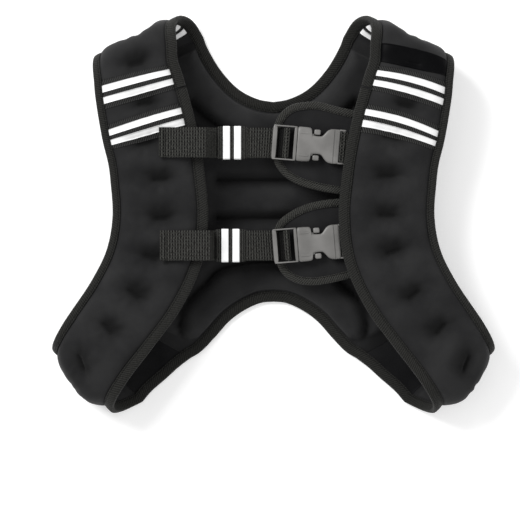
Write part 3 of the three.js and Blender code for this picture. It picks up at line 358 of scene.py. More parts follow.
def put_out(group, out, height, mask):
    """The group with its height and mask led to its output."""
    group.links.new(height, out.inputs["Height"])
    group.links.new(mask, out.inputs["Mask"])
    return group


def knit_group():
    """Fine jersey on foam: stitches by round cells and a little fuzz on Object places. The mask
    is slow cloudy wear."""
    group, given, out = weave_node("jersey", {"Pitch": 0.0009, "Fuzz": 0.5})
    place, scale = object_place(group, given)
    fuzz = add_node(group, "ShaderNodeTexNoise", {"Detail": 3.0, "Roughness": 0.6},
                    {"Vector": place, "Scale": scale})
    cell = add_node(group, "ShaderNodeTexVoronoi", {"Randomness": 0.55},
                    {"Vector": place, "Scale": scale})
    height = add_node(group, "ShaderNodeMix", {}, {"Factor": given.outputs["Fuzz"],
                      2: cell.outputs["Distance"], 3: fuzz.outputs["Fac"]})
    cloud = add_node(group, "ShaderNodeTexNoise", {"Scale": 28.0, "Detail": 4.0},
                     {"Vector": place})
    return put_out(group, out, height.outputs[0], cloud.outputs["Fac"])


def cloth_material(name, dark, light, rough, group, values, depth, sheen=0.0, bias=(0.35, 0.65),
                   gloss=0.14):
    """Cloth whose colour runs from dark to light by the group's mask, its weave by a bump."""
    material = bpy.data.materials.new(name)
    material.use_nodes = True
    tree = material.node_tree
    shader = tree.nodes["Principled BSDF"]
    shader.inputs["Roughness"].default_value = rough
    shader.inputs["Specular IOR Level"].default_value = gloss
    shader.inputs["Sheen Weight"].default_value = sheen
    shader.inputs["Sheen Roughness"].default_value = 0.5
    weave = add_node(tree, "ShaderNodeGroup", node_tree=group)
    for key, value in values.items():
        weave.inputs[key].default_value = value
    ramp = add_node(tree, "ShaderNodeValToRGB", {}, {"Fac": weave.outputs["Mask"]})
    ramp.color_ramp.elements[0].position, ramp.color_ramp.elements[1].position = bias
    ramp.color_ramp.elements[0].color = (*dark, 1)
    ramp.color_ramp.elements[1].color = (*light, 1)
    bump = add_node(tree, "ShaderNodeBump", {"Strength": 0.8, "Distance": depth},
                    {"Height": weave.outputs["Height"]})
    tree.links.new(ramp.outputs["Color"], shader.inputs["Base Color"])
    tree.links.new(bump.outputs["Normal"], shader.inputs["Normal"])
    return material


jersey = knit_group()


def paint_shade(material, share):
    """Colour times one less the share of the piece's painted-shade attribute: shade painted into the
    cloth's colour.
    """
    tree = material.node_tree
    shader = tree.nodes["Principled BSDF"]
    colour = shader.inputs["Base Color"].links[0].from_socket
    shade_paint = add_node(tree, "ShaderNodeAttribute", attribute_name="shade_paint")
    shade = add_node(tree, "ShaderNodeMapRange", {3: 1.0, 4: 1 - share},
                     {0: shade_paint.outputs["Fac"]})
    darker = add_node(tree, "ShaderNodeMix", {"Factor": 1.0},
                      {6: colour, 7: shade.outputs[0]}, data_type="RGBA", blend_type="MULTIPLY")
    tree.links.new(darker.outputs[2], shader.inputs["Base Color"])


neoprene = cloth_material("neoprene", (0.0095, 0.0095, 0.01), (0.0182, 0.0182, 0.0186), 0.8, jersey,
                          {"Pitch": 0.0011, "Fuzz": 0.45}, 0.0003, sheen=0.07)
# Painted shade: the neoprene's colour darkens by up to 92 % round the tacks and in the back's valleys.
paint_shade(neoprene, 0.92)


UNEVEN_OUTSIDE, UNEVEN_INSIDE, UNEVEN_PITCH = 0.8, 0.6, 60
SHOULDER_PUFF, SHOULDER_PUFF_PLACE, SHOULDER_PUFF_REACH = 5.0, (43, 23), (17, 12)
WAIST_PUFF, WAIST_PUFF_FROM_SEAM, WAIST_PUFF_REACH, WAIST_PUFF_LEAN = 9.5, 42, (20, 32), 0.012


def ribbon_shape(lengths, shares, side_margins, tacks, seed, fill):
    """The ribbon's outer and inner face at a share of its full stuffing: the swell over the pad,
    with a bell-shaped puff over each fold, less what the tacks pull in, never thinner than the
    cloth."""
    place, normal, arch, f, offset, across = ribbon_faces(lengths, shares, side_margins)
    # dark is painted shade round the tacks, which later darkens the panel's colour.
    dents, dark = tack_dents(lengths, offset, tacks)
    dents = dents * np.minimum(arch * 1.2, 1)
    slow = soft_waves(lengths[:, None], across, seed, UNEVEN_PITCH)
    along = (lengths[:, None] - SHOULDER_PUFF_PLACE[0]) / SHOULDER_PUFF_REACH[0]
    over = (offset - SHOULDER_PUFF_PLACE[1]) / SHOULDER_PUFF_REACH[1]
    puff = SHOULDER_PUFF * np.exp(-along ** 2 - over ** 2)
    along = (RIBBON_LENGTH - lengths[:, None] - WAIST_PUFF_FROM_SEAM) / WAIST_PUFF_REACH[0]
    waist = np.exp(-along ** 2) * (1 + WAIST_PUFF_LEAN * offset)
    puff = puff + WAIST_PUFF * waist * np.exp(-(offset / WAIST_PUFF_REACH[1]) ** 4)
    swell = PAD_OUTSIDE - CLOTH_HALF + UNEVEN_OUTSIDE * slow + puff
    outer = np.maximum(swell * arch - dents, 0) * fill
    swell = PAD_INSIDE - CLOTH_HALF + UNEVEN_INSIDE * slow
    inner = np.maximum(swell * arch - 0.8 * dents, 0) * fill
    outside = place + normal * (CLOTH_HALF + outer)[..., None]
    inside = place - normal * (CLOTH_HALF + inner)[..., None]
    outside[..., 2] = np.maximum(outside[..., 2], 0)
    return {"outside": outside, "inside": inside, "place": place, "normal": normal,
            "across": across, "offset": offset, "dark": np.clip(dark, 0, 1)}


PUFF_PRESSURE, PUFF_LIMIT, PUFF_FRAMES = 4.0, 4.5, 20


def blown_moves(name, rings, held):
    """How far each point of a closed cloth form moves when it is blown up from inside for
    PUFF_FRAMES frames with its held points kept still, at most PUFF_LIMIT mm."""
    points, faces = closed_loft(rings)
    copy = new_piece(name, points, faces)
    group = copy.vertex_groups.new(name="held")
    group.add(np.flatnonzero(held.ravel()).tolist(), 1.0, "REPLACE")
    cloth = copy.modifiers.new("cloth", "CLOTH")
    cloth.settings.quality = 6
    cloth.settings.mass = 0.25
    cloth.settings.tension_stiffness = cloth.settings.compression_stiffness = 12
    cloth.settings.bending_stiffness = 0.3
    cloth.settings.use_pressure = True
    cloth.settings.uniform_pressure_force = PUFF_PRESSURE
    cloth.settings.vertex_group_mass = "held"
    cloth.settings.effector_weights.gravity = 0
    cloth.collision_settings.use_collision = False
    cloth.point_cache.frame_start, cloth.point_cache.frame_end = 1, PUFF_FRAMES
    scene = bpy.context.scene
    for number in range(1, PUFF_FRAMES + 1):
        scene.frame_set(number)
    settled = copy.evaluated_get(bpy.context.evaluated_depsgraph_get()).data
    after = np.empty(len(points) * 3, np.float32)
    settled.vertices.foreach_get("co", after)
    moves = after.reshape(-1, 3) * 1000 - points
    far = np.linalg.norm(moves, axis=1)
    moves *= (np.tanh(far / PUFF_LIMIT) * PUFF_LIMIT / np.maximum(far, 1e-6))[:, None]
    mesh = copy.data
    bpy.data.objects.remove(copy)
    bpy.data.meshes.remove(mesh)
    scene.frame_set(1)
    return moves.reshape(rings.shape)


def spread_moves(coarse, coarse_lengths, coarse_shares, lengths, shares):
    """Moves on a coarse grid carried to a finer one, first along and then across."""
    long = np.stack([np.stack([np.interp(lengths, coarse_lengths, coarse[:, c, n])
                               for n in range(3)], axis=-1)
                     for c in range(coarse.shape[1])], axis=1)
    return np.stack([np.stack([np.interp(shares, coarse_shares, row[:, n])
                               for n in range(3)], axis=-1) for row in long])


def ribbon_grid(row_step, steps):
    """Even lengths along the ribbon, and shares over its pad that close up towards both sides
    like a cosine."""
    lengths = np.linspace(0, RIBBON_LENGTH, int(RIBBON_LENGTH / row_step))
    return lengths, (1 - np.cos(np.pi * np.arange(steps + 1) / steps)) / 2


ROW_STEP, PAD_STEPS = 1.7, 44
COARSE_ROW_STEP, COARSE_PAD_STEPS, COARSE_FILL = 5.0, 16, 0.88
TACK_HOLD = 4.5
ribbon_lengths, pad_shares = ribbon_grid(ROW_STEP, PAD_STEPS)
coarse_lengths, coarse_shares = ribbon_grid(COARSE_ROW_STEP, COARSE_PAD_STEPS)
margins = np.array([0, 0.33, 0.67])
no_margin = np.array([0.0])
ribbon = {}
for side, tacks, seed in (("left", TACKS_LEFT, 11), ("right", TACKS_RIGHT, 12)):
    shape = ribbon_shape(ribbon_lengths, pad_shares, margins, tacks, seed, 1)
    start = ribbon_shape(coarse_lengths, coarse_shares, no_margin, tacks, seed, COARSE_FILL)
    from_tack = np.hypot(coarse_lengths[:, None, None] - tacks[:, 0],
                         start["offset"][..., None] - tacks[:, 1]).min(axis=-1)
    still = (from_tack < TACK_HOLD) | (coarse_lengths < SEAM_FLAT)[:, None]
    still |= (coarse_lengths > RIBBON_LENGTH - SEAM_FLAT)[:, None]
    still[:, :2] = still[:, -2:] = True
    moves = blown_moves(
        "stuffing", np.concatenate([start["outside"], start["inside"][:, ::-1]], axis=1),
        np.concatenate([still, still[:, ::-1]], axis=1))
    count = start["outside"].shape[1]
    for face, part in (("outside", moves[:, :count]), ("inside", moves[:, :count - 1:-1])):
        shape[face][:, len(margins):-len(margins)] += spread_moves(
            part[:, 1:-1], coarse_lengths, coarse_shares, ribbon_lengths, pad_shares)
    shape["outside"][..., 2] = np.maximum(shape["outside"][..., 2], 0)
    mirror = np.array([1 if side == "left" else -1, 1, 1])
    for key in ("outside", "inside", "place", "normal"):
        shape[key] = shape[key] * mirror
    ribbon[side] = shape
    across = shape["across"]
    points, faces = closed_loft(
        np.concatenate([shape["outside"], shape["inside"][:, ::-1]], axis=1))
    weave = np.stack(np.broadcast_arrays(
        ribbon_lengths[:, None], np.concatenate([across, across[:, ::-1]], axis=1)), axis=-1)
    panel = new_piece(f"front_panel_{side}_padded", points, faces,
                      weave.reshape(-1, 2) * 0.001, neoprene)
    # The tacks' painted shade goes on the panel as the attribute that darkens its colour.
    mark_shade_paint(panel, np.concatenate([shape["dark"], shape["dark"][:, ::-1]], axis=1))
    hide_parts(f"front_panel_{side}")

# Back panel: a padded neoprene plate from the shoulder seams and neck down to the side seams
# and hem. Sewn valleys part its inner face into channels; its outer face lies flat.
GAP = 0.3
SEAM_GAP = 0.02
BACK_TOP = 17.0
BACK_SHOULDER = 15.0
BACK_LEAST, BACK_UNEVEN, BACK_UNEVEN_PITCH = 0.4, 0.8, 70
VALLEY_DEPTH, VALLEY_WIDTH = 8.0, 6.2
VALLEY_CREASE_DEPTH, VALLEY_CREASE_WIDTH = 2.2, 1.5
VALLEY_LIFT, VALLEY_LIFT_WIDTH = 1.3, 5
VALLEY_SHADE, VALLEY_CREASE_SHADE = 0.5, 0.45
UNDER_SLOPE = 5
SEAM_STEPS, EDGE_STEPS, SIDE_STEPS = 22, 60, 120
NECK_EDGE = [[0.312, 0.925], [0.249, 0.866], [0.162, 0.816], [0.071, 0.791], [0, 0.784]]
HEM_EDGE = [[0.339, 0.162], [0.276, 0.197], [0.203, 0.241], [0.130, 0.269], [0.057, 0.286],
            [0, 0.289]]
ARMHOLE_EDGE = [[0.585, 0.726], [0.554, 0.540], [0.617, 0.386]]
WING_SEAM = [[0.749, 0.256], [0.387, 0.146]]
BACK_VALLEYS = [
    [[0.380, 0.781], [0.326, 0.754], [0.253, 0.726], [0.130, 0.699], [0, 0.689]],
    [[0.257, 0.592], [0, 0.592]],
    [[0.257, 0.495], [0, 0.495]],
    [[0.358, 0.182], [0.412, 0.189], [0.431, 0.221], [0.421, 0.261], [0.385, 0.294],
     [0.312, 0.333], [0.253, 0.366], [0.130, 0.383], [0, 0.386]],
]
FLIP = np.array([-1, 1])


def line_outwards(line, side):
    """Directions square to a plan line, to its left where side is 1."""
    along = np.gradient(line, axis=0)
    along /= np.linalg.norm(along, axis=1)[:, None]
    return side * np.stack([-along[:, 1], along[:, 0]], axis=1)


def distance_to(points, line):
    """Shortest plan distance from each point to a line of short straight pieces."""
    start, span = line[:-1], np.diff(line, axis=0)
    away = points[..., None, :] - start
    share = np.clip((away * span).sum(-1) / (span ** 2).sum(-1), 0, 1)
    return np.linalg.norm(away - share[..., None] * span, axis=-1).min(axis=-1)


def unit(v):
    """The direction of a vector."""
    return v / np.linalg.norm(v)


def eased(count, steps=14):
    """A weight that falls from 1 to 0 over the first steps of a line, by a smooth cubic."""
    fade = np.clip(1 - np.arange(count) / steps, 0, 1)
    return (fade ** 2 * (3 - 2 * fade))[:, None]


def eased_start(ways, first):
    """Directions along a line that start at a given one and turn smoothly to their own."""
    mixed = ways + (first - ways) * eased(len(ways))
    return mixed / np.linalg.norm(mixed, axis=1)[:, None]


left_place = ribbon["left"]["place"]
PAD_START, PAD_END = len(margins), -1 - len(margins)
seam_shift = -SEAM_GAP * folds[0][1]
shoulder_seam = left_place[0, [0, -1], :2] + seam_shift
wing_seam = spot(WING_SEAM)
neck_line = even_line([shoulder_seam[1], *spot(NECK_EDGE)], EDGE_STEPS + 1)
hem_line = even_line([wing_seam[1], *spot(HEM_EDGE)], EDGE_STEPS + 1)
armhole_line = even_line([shoulder_seam[0], *spot(ARMHOLE_EDGE), wing_seam[0]], SIDE_STEPS + 1)
neck_out = line_outwards(neck_line, 1)
hem_out = line_outwards(hem_line, -1)
armhole_out = line_outwards(armhole_line, -1)
neck_out[-1], hem_out[-1] = (0, 1), (0, -1)
neck_out = eased_start(neck_out, unit(left_place[0, -1, :2] - left_place[0, PAD_END, :2]))
armhole_out = eased_start(armhole_out, unit(left_place[0, 0, :2] - left_place[0, PAD_START, :2]))
wing_along = unit(wing_seam[1] - wing_seam[0])
wing_out = np.array([wing_along[1], -wing_along[0]])
neck_inset = neck_line - neck_out * INNER_FLAT
hem_inset = hem_line - hem_out * INNER_FLAT
armhole_inset = armhole_line - armhole_out * ARMHOLE_FLAT


def border_half(seam, seam_out, corner_inset, edge, inset):
    """Rim and the line inside it, over a seam and then a free edge to the middle line."""
    share = (np.arange(SEAM_STEPS) / SEAM_STEPS)[:, None]
    rim = np.vstack([seam[0] * (1 - share) + seam[1] * share, edge])
    ring = np.vstack([corner_inset * (1 - share) + inset[0] * share, inset])
    ring[:SEAM_STEPS] -= seam_out * SEAM_FLAT
    ring[SEAM_STEPS:] -= seam_out * SEAM_FLAT * eased(len(ring) - SEAM_STEPS)
    return np.vstack([rim, rim[-2::-1] * FLIP]), np.vstack([ring, ring[-2::-1] * FLIP])


top_rim, top_ring = border_half(shoulder_seam, folds[0][1], armhole_inset[0], neck_line, neck_inset)
low_rim, low_ring = border_half(wing_seam, wing_out, armhole_inset[-1], hem_line, hem_inset)
left_ring = armhole_inset - folds[0][1] * SEAM_FLAT * eased(len(armhole_inset))
left_ring -= wing_out * SEAM_FLAT * eased(len(armhole_inset))[::-1]
right_ring = left_ring * FLIP


def blended_grid(top, low, left, right):
    """Plan places between four border lines: the mean of the blends across and down, less the
    blend of the four corners."""
    u = np.linspace(0, 1, len(top))[None, :, None]
    v = np.linspace(0, 1, len(left))[:, None, None]
    across = left[:, None] * (1 - u) + right[:, None] * u
    down = top[None] * (1 - v) + low[None] * v
    corners = ((top[0] * (1 - u) + top[-1] * u) * (1 - v) + (low[0] * (1 - u) + low[-1] * u) * v)
    return across + down - corners


def loop_of(grid):
    """The border of a grid as one closed loop."""
    return np.concatenate([grid[0], grid[1:, -1], grid[-1, -2::-1], grid[-2:0:-1, 0]])


back_plan = blended_grid(top_ring, low_ring, left_ring, right_ring)
back_ring = loop_of(back_plan)
back_rim = np.concatenate([top_rim, armhole_line[1:-1] * FLIP, low_rim[::-1],
                           armhole_line[-2:0:-1]])
rim_distance = distance_to(back_plan, np.vstack([back_ring, back_ring[:1]])[::2])
valley_lines = [even_line(spot(v), 30) for v in BACK_VALLEYS]
valley_lines += [line * FLIP for line in valley_lines]
valley_distance = np.min([distance_to(back_plan, line) for line in valley_lines], axis=0)
rise = np.clip(rim_distance / BACK_SHOULDER, 0, 1)
back_arch = np.sqrt(1 - (1 - rise) ** 2)
back_waves = soft_waves(back_plan[..., 0], back_plan[..., 1], 5, BACK_UNEVEN_PITCH)
valley = (VALLEY_DEPTH * np.exp(-(valley_distance / VALLEY_WIDTH) ** 2)
          + VALLEY_CREASE_DEPTH * np.exp(-(valley_distance / VALLEY_CREASE_WIDTH) ** 2))
edge_top, edge_low = BACK_LEVEL + CLOTH_HALF, BACK_LEVEL - CLOTH_HALF
back_height = edge_top + back_arch * np.maximum(
    BACK_TOP - edge_top + BACK_UNEVEN * back_waves - valley, BACK_LEAST)
back_under = np.maximum(edge_low * (1 - np.clip(rim_distance / UNDER_SLOPE, 0, 1)), 0)
back_under += back_arch * VALLEY_LIFT * np.exp(-(valley_distance / VALLEY_LIFT_WIDTH) ** 2)
border = rim_distance < 1e-6
back_height[border], back_under[border] = edge_top, edge_low


def at_height(plan, z):
    """Plan places lifted to a height or to heights."""
    z = np.broadcast_to(np.asarray(z, float), plan.shape[:-1])
    return np.concatenate([plan, z[..., None]], axis=-1)


def band_faces(a, b):
    """Faces between two closed loops of point numbers."""
    return np.stack([a, np.roll(a, -1), np.roll(b, -1), b], axis=1)


rows, columns = back_plan.shape[:2]
number = np.arange(rows * columns).reshape(rows, columns)
ring_number = loop_of(number)
rim_number = 2 * rows * columns + np.arange(len(back_rim))
back_points = np.vstack([
    at_height(back_plan, back_height).reshape(-1, 3), at_height(back_plan, back_under).reshape(-1, 3),
    at_height(back_rim, edge_top), at_height(back_rim, edge_low)])
top_faces = grid_faces(rows, columns)[:, ::-1]
back_faces = np.vstack([
    top_faces, top_faces[:, ::-1] + rows * columns,
    band_faces(rim_number, ring_number)[:, ::-1],
    band_faces(rim_number + len(back_rim), ring_number + rows * columns),
    band_faces(rim_number, rim_number + len(back_rim))])
back = new_piece("back_panel_padded", back_points, back_faces, back_points[:, :2] * 0.001, neoprene)
# Painted shade along the back's valleys and their creases, which darkens the neoprene's colour there.
valley_shade_paint = back_arch * (VALLEY_SHADE * np.exp(-(valley_distance / 5) ** 2)
                       + VALLEY_CREASE_SHADE * np.exp(-(valley_distance / 1.6) ** 2))
mark_shade_paint(back, np.concatenate([valley_shade_paint.ravel(), valley_shade_paint.ravel(), np.zeros(2 * len(back_rim))]))
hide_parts("back_panel")

# Side panels: one layer of closely knitted cloth a side, between the waist fold's end and the
# back panel's wing. They lie flat under the folded waist.
SIDE_HEM_EDGE = [[0.567, 0.062], [0.494, 0.097], [0.444, 0.122]]
SIDE_PANEL_STEPS, SIDE_ACROSS_STEPS = 40, 45
SIDE_RIPPLE, SIDE_RIPPLE_PITCH = 0.5, 34

rib_knit = cloth_material("side_cloth", (0.0025, 0.0025, 0.003), (0.0075, 0.0075, 0.008), 0.85, jersey,
                          {"Pitch": 0.0014, "Fuzz": 0.2}, 0.0004, sheen=0.06)
waist_seam = left_place[-1, [0, -1], :2] - SEAM_GAP * folds[1][1]
side_end = wing_seam + wing_out * SEAM_GAP
side_hem_line = even_line([waist_seam[1], *spot(SIDE_HEM_EDGE), side_end[1]], SIDE_PANEL_STEPS + 1)
side_top_line = even_line([waist_seam[0], side_end[0]], SIDE_PANEL_STEPS + 1)
side_share = np.linspace(0, 1, SIDE_ACROSS_STEPS + 1)[None, :, None]
side_plan = side_top_line[:, None] * (1 - side_share) + side_hem_line[:, None] * side_share
side_fade = np.minimum(np.minimum(side_share[..., 0], 1 - side_share[..., 0]) * 6, 1)
side_wave = SIDE_RIPPLE * side_fade * soft_waves(
    side_plan[..., 0], side_plan[..., 1], 8, SIDE_RIPPLE_PITCH)
for side, sign in (("left", 1), ("right", -1)):
    upper = at_height(side_plan, BACK_LEVEL + CLOTH_HALF + side_wave)
    lower = at_height(side_plan, BACK_LEVEL - CLOTH_HALF + side_wave)
    rings = np.concatenate([upper, lower[:, ::-1]], axis=1) * [sign, 1, 1]
    points, faces = closed_loft(rings)
    cloth = new_piece(f"side_panel_{side}_cloth", points, faces, points[:, :2] * 0.001, rib_knit)
    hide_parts(f"side_panel_{side}")

# Edge bindings: woven tape folded over every cut edge and sewn through near its inner side.
# The neck's tape runs over the shoulders to a joint beside the upper reflective tapes, the
# hem's goes on from there down the fronts and along the hem, and each armhole has a ring.
ARMHOLE_BINDING, INNER_BINDING, FLAP_BINDING = 6.5, 9.5, 6.5
BINDING_STAND, BINDING_GAP = 1.4, 0.4
BINDING_INNER = 1.9
TAPE_WIDTH = 26.8
TAPE_THICKNESS = 0.25
STITCH_FROM_SIDE, STITCH_DIP, STITCH_WIDTH = 1.7, 0.45, 0.55
NEAR_STITCH = np.array([0, 0.5, 1.1, 1.7, 2.3, 3.2])
OVER_TAPE = np.array([0.45, 0.62, 0.8, 0.92])
NOSE_STEPS = 5


def woven_place(group):
    """The cloth's own places, and their parts along and across it."""
    uv = add_node(group, "ShaderNodeUVMap", uv_map="weave").outputs[0]
    split = add_node(group, "ShaderNodeSeparateXYZ", {}, {0: uv})
    return uv, split.outputs["X"], split.outputs["Y"]


def slanted_ribs(group, given, along, across):
    """Ribs by the sine of the length plus Slant times the width, Ribs of them to the metre."""
    turns = maths(group, "MULTIPLY", given.outputs["Ribs"], 2 * np.pi)
    slanted = maths(group, "MULTIPLY_ADD", across, given.outputs["Slant"], along)
    return maths(group, "SINE", maths(group, "MULTIPLY", slanted, turns))


def tape_group():
    """Woven edge tape: slanted ribs by a sine of the length along it plus a share of the width,
    broken by the threads that cross them. The mask follows their height: painted highlight on
    the crowns and painted shade in the valleys, less a row of sewing stitches beside the tape's
    inner edge."""
    group, given, out = weave_node("edge_tape_weave", {"Ribs": 430.0, "Slant": 0.5,
                                                       "Stitch": 0.0017})
    uv, along, across = woven_place(group)
    ribs = slanted_ribs(group, given, along, across)
    threads = add_node(group, "ShaderNodeTexNoise", {"Scale": 900.0, "Detail": 2.0},
                       {"Vector": uv})
    thread_rise = add_node(group, "ShaderNodeMapRange", {1: 0.3, 2: 0.7, 3: -1.0, 4: 1.0},
                           {0: threads.outputs["Fac"]})
    height = add_node(group, "ShaderNodeMix", {"Factor": 0.5},
                      {2: ribs, 3: thread_rise.outputs[0]}).outputs[0]
    crowns = add_node(group, "ShaderNodeMapRange", {1: -0.9, 2: 0.9}, {0: height}).outputs[0]
    away = maths(group, "ABSOLUTE", maths(group, "SUBTRACT", across, given.outputs["Stitch"]))
    line = maths(group, "LESS_THAN", away, 0.0004)
    dash = maths(group, "LESS_THAN", maths(group, "FRACT", maths(group, "MULTIPLY", along, 300.0)),
                 0.74)
    stitch = maths(group, "MULTIPLY", line, dash)
    mask = maths(group, "SUBTRACT", crowns, stitch, use_clamp=True)
    return put_out(group, out, height, mask)


edge_weave = tape_group()
# The edge tape's colour runs from painted shade in the ribs' valleys to painted highlight on their
# crowns.
edge_tape = cloth_material("edge_tape", (0.003, 0.003, 0.0027), (0.0255, 0.0255, 0.023), 0.75,
                           edge_weave, {"Ribs": 430.0, "Slant": 0.55, "Stitch": 0.0017}, 0.00045,
                           sheen=0.04, bias=(0.05, 0.95))


def binding_rings(edge, inset, normal, width, flat):
    """A folded tape's rings round a cloth edge. Over the outside x runs from the tape's inner
    side, at -width, to a round nose past the edge; the height swells by a low arch, dips at
    the stitches and falls off round the nose like a quarter circle. The inside keeps to the
    cloth."""
    x = np.sort(np.append(NEAR_STITCH, (width - 0.5) * OVER_TAPE)) - width
    nose = np.linspace(0, np.pi / 2, NOSE_STEPS + 1)[1:]
    x = np.append(x, -0.4 + (BINDING_STAND + 0.4) * np.sin(nose))
    stitch = STITCH_DIP * np.exp(-((x + width - STITCH_FROM_SIDE) / STITCH_WIDTH) ** 2)
    y = BINDING_HALF - TAPE_THICKNESS - stitch
    y += 0.25 * np.sin(np.pi * np.clip((x + width) / width, 0, 1))
    y[0] = BINDING_INNER + TAPE_THICKNESS
    y[-NOSE_STEPS:] = (BINDING_HALF - TAPE_THICKNESS) * np.cos(nose)
    x, y = np.append(x, x[-2::-1]), np.append(y, -y[-2::-1])
    inner_x = np.minimum(x, BINDING_GAP)[::-1]
    inner_y = np.clip(y, -BINDING_INNER, BINDING_INNER)[::-1]
    x, y = np.append(x, inner_x), np.append(y, inner_y)
    outward = edge - inset
    outward /= np.linalg.norm(outward, axis=1)[:, None]
    run = np.append(0, np.cumsum(np.linalg.norm(np.diff(edge, axis=0), axis=1)))
    uneven = 1 + 0.05 * soft_waves(run[:, None], 0 * y[None], 21, 30)
    share = (np.maximum(-x, 0) / flat)[None, :, None]
    rings = (edge[:, None] * (1 - share) + inset[:, None] * share
             + outward[:, None] * np.maximum(x, 0)[None, :, None]
             + normal[:, None] * (y * np.where(np.abs(y) > BINDING_INNER, uneven, 1))[..., None])
    weave = np.stack(np.broadcast_arrays(run[:, None], (x + width)[None]), axis=-1)
    return rings, weave.reshape(-1, 2) * 0.001


def bound_edge(name, node, places, width, flat, closed=False):
    """Tape round an edge that is given as its line, the line inside it and the cloth's facing."""
    rings, weave = binding_rings(*places, width, flat)
    points, faces = closed_loft(rings, closed)
    tape = new_piece(name, points, faces, weave, edge_tape)
    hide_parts(node)
    return tape


def flat_places(line, inset):
    """Edge, inset and facing of an edge that lies flat at the back's level, face down."""
    facing = np.tile([0.0, 0, -1], (len(line), 1))
    return at_height(line, BACK_LEVEL), at_height(inset, BACK_LEVEL), facing


def joined(*runs):
    """Several runs of edge places as one."""
    return tuple(np.vstack(part) for part in zip(*runs))


def mirrored_on(places):
    """Edge places that go on past the middle line to the other side."""
    return tuple(np.vstack([p, p[-2::-1] * [-1, 1, 1]]) for p in places)


def pick(places, index):
    """The edge places that an index picks."""
    return tuple(p[index] for p in places)


left_normal = ribbon["left"]["normal"]
outer_places = (left_place[:, 0], left_place[:, PAD_START], left_normal[:, 0])
inner_places = (left_place[:, -1], left_place[:, PAD_END], left_normal[:, -1])
neck_places = flat_places(neck_line, neck_inset)
hem_places = flat_places(hem_line, hem_inset)
armhole_places = flat_places(armhole_line, armhole_inset)
side_hem_places = flat_places(
    side_hem_line, side_hem_line - line_outwards(side_hem_line, -1) * INNER_FLAT)
side_top_places = flat_places(
    side_top_line, side_top_line - line_outwards(side_top_line, 1) * ARMHOLE_FLAT)
joint = np.searchsorted(ribbon_lengths, length_at(2) + TAPE_WIDTH / 2)
neck_run = joined(pick(inner_places, slice(joint - 1, None, -1)), pick(neck_places, slice(1, None)))
hem_run = joined(pick(inner_places, slice(joint, None)), pick(side_hem_places, slice(1, -1)),
                 hem_places)
bound_edge("neck_binding_tape", "neck_binding", mirrored_on(neck_run), INNER_BINDING, INNER_FLAT)
bound_edge("hem_binding_tape", "hem_binding", mirrored_on(hem_run), INNER_BINDING, INNER_FLAT)
armhole_run = joined(outer_places, pick(side_top_places, slice(1, -1)),
                     pick(armhole_places, slice(None, 0, -1)))
for side, sign in (("left", 1), ("right", -1)):
    places = tuple(p * [sign, 1, 1] for p in armhole_run)
    bound_edge(f"armhole_binding_tape_{side}", f"armhole_binding_{side}", places,
               ARMHOLE_BINDING, ARMHOLE_FLAT, closed=True)

# Reflective tapes: two twill tapes sewn across the front of each shoulder and one inside it,
# each with two white reflective stripes pressed onto it.
STRIPE_WIDTH, STRIPE_GAP = 6.2, 4.4
INNER_TAPE_WIDTH, INNER_TAPE_FROM_SEAM = 20.0, 20.0
TAPE_LOW, TAPE_STAND, STRIPE_STAND = 0.05, 0.7, 1.1
TAPE_BOWS = {"left": 0.1, "right": 2.1}


def ribbon_layer(side, face, start, end, low, high, bow=0.0):
    """A thin layer on the finished ribbon between two lengths: the ribbon's own grid taken at
    even lengths, bowed over its width like a parabola, moved out along its surface's own
    direction to two heights."""
    grid = ribbon[side][face][:, PAD_START:left_place.shape[1] + PAD_END + 1]
    steps = max(int((end - start) / 1.3), 5)
    over = ((2 * pad_shares - 1) ** 2 - 0.35) * bow
    at = (np.linspace(start, end, steps)[:, None] + over) / RIBBON_LENGTH * (len(grid) - 1)
    k = np.clip(at.astype(int), 0, len(grid) - 2)
    part = (at - k)[..., None]
    column = np.arange(grid.shape[1])[None]
    surface = grid[k, column] * (1 - part) + grid[k + 1, column] * part
    facing = np.cross(np.gradient(surface, axis=0), np.gradient(surface, axis=1))
    facing /= np.linalg.norm(facing, axis=-1)[..., None]
    wanted = ribbon[side]["normal"][k, column + PAD_START] * (1 if face == "outside" else -1)
    facing *= np.sign((facing * wanted).sum(-1))[..., None]
    rings = np.concatenate([surface + facing * high, (surface + facing * low)[:, ::-1]], axis=1)
    run = ribbon[side]["across"][k, column + PAD_START]
    along = np.linspace(start, end, steps)[:, None] + 0 * run
    weave = np.stack([np.concatenate([run, run[:, ::-1]], axis=1),
                      np.concatenate([along, along[:, ::-1]], axis=1)], axis=-1)
    return rings, weave.reshape(-1, 2) * 0.001


def twill_group():
    """Twill: slanted ridges by a sine of length plus width, with thread noise. The mask is the
    same ridge, so its valleys are darker as painted shade and its crowns lighter as painted
    highlight."""
    group, given, out = weave_node("twill", {"Ribs": 900.0, "Slant": 1.0})
    uv, along, across = woven_place(group)
    ridge = slanted_ribs(group, given, along, across)
    threads = add_node(group, "ShaderNodeTexNoise", {"Scale": 1800.0, "Detail": 2.0},
                       {"Vector": uv})
    height = add_node(group, "ShaderNodeMix", {"Factor": 0.35},
                      {2: ridge, 3: threads.outputs["Fac"]}).outputs[0]
    mask = add_node(group, "ShaderNodeMapRange", {1: -0.5, 2: 0.85}, {0: height}).outputs[0]
    return put_out(group, out, height, mask)


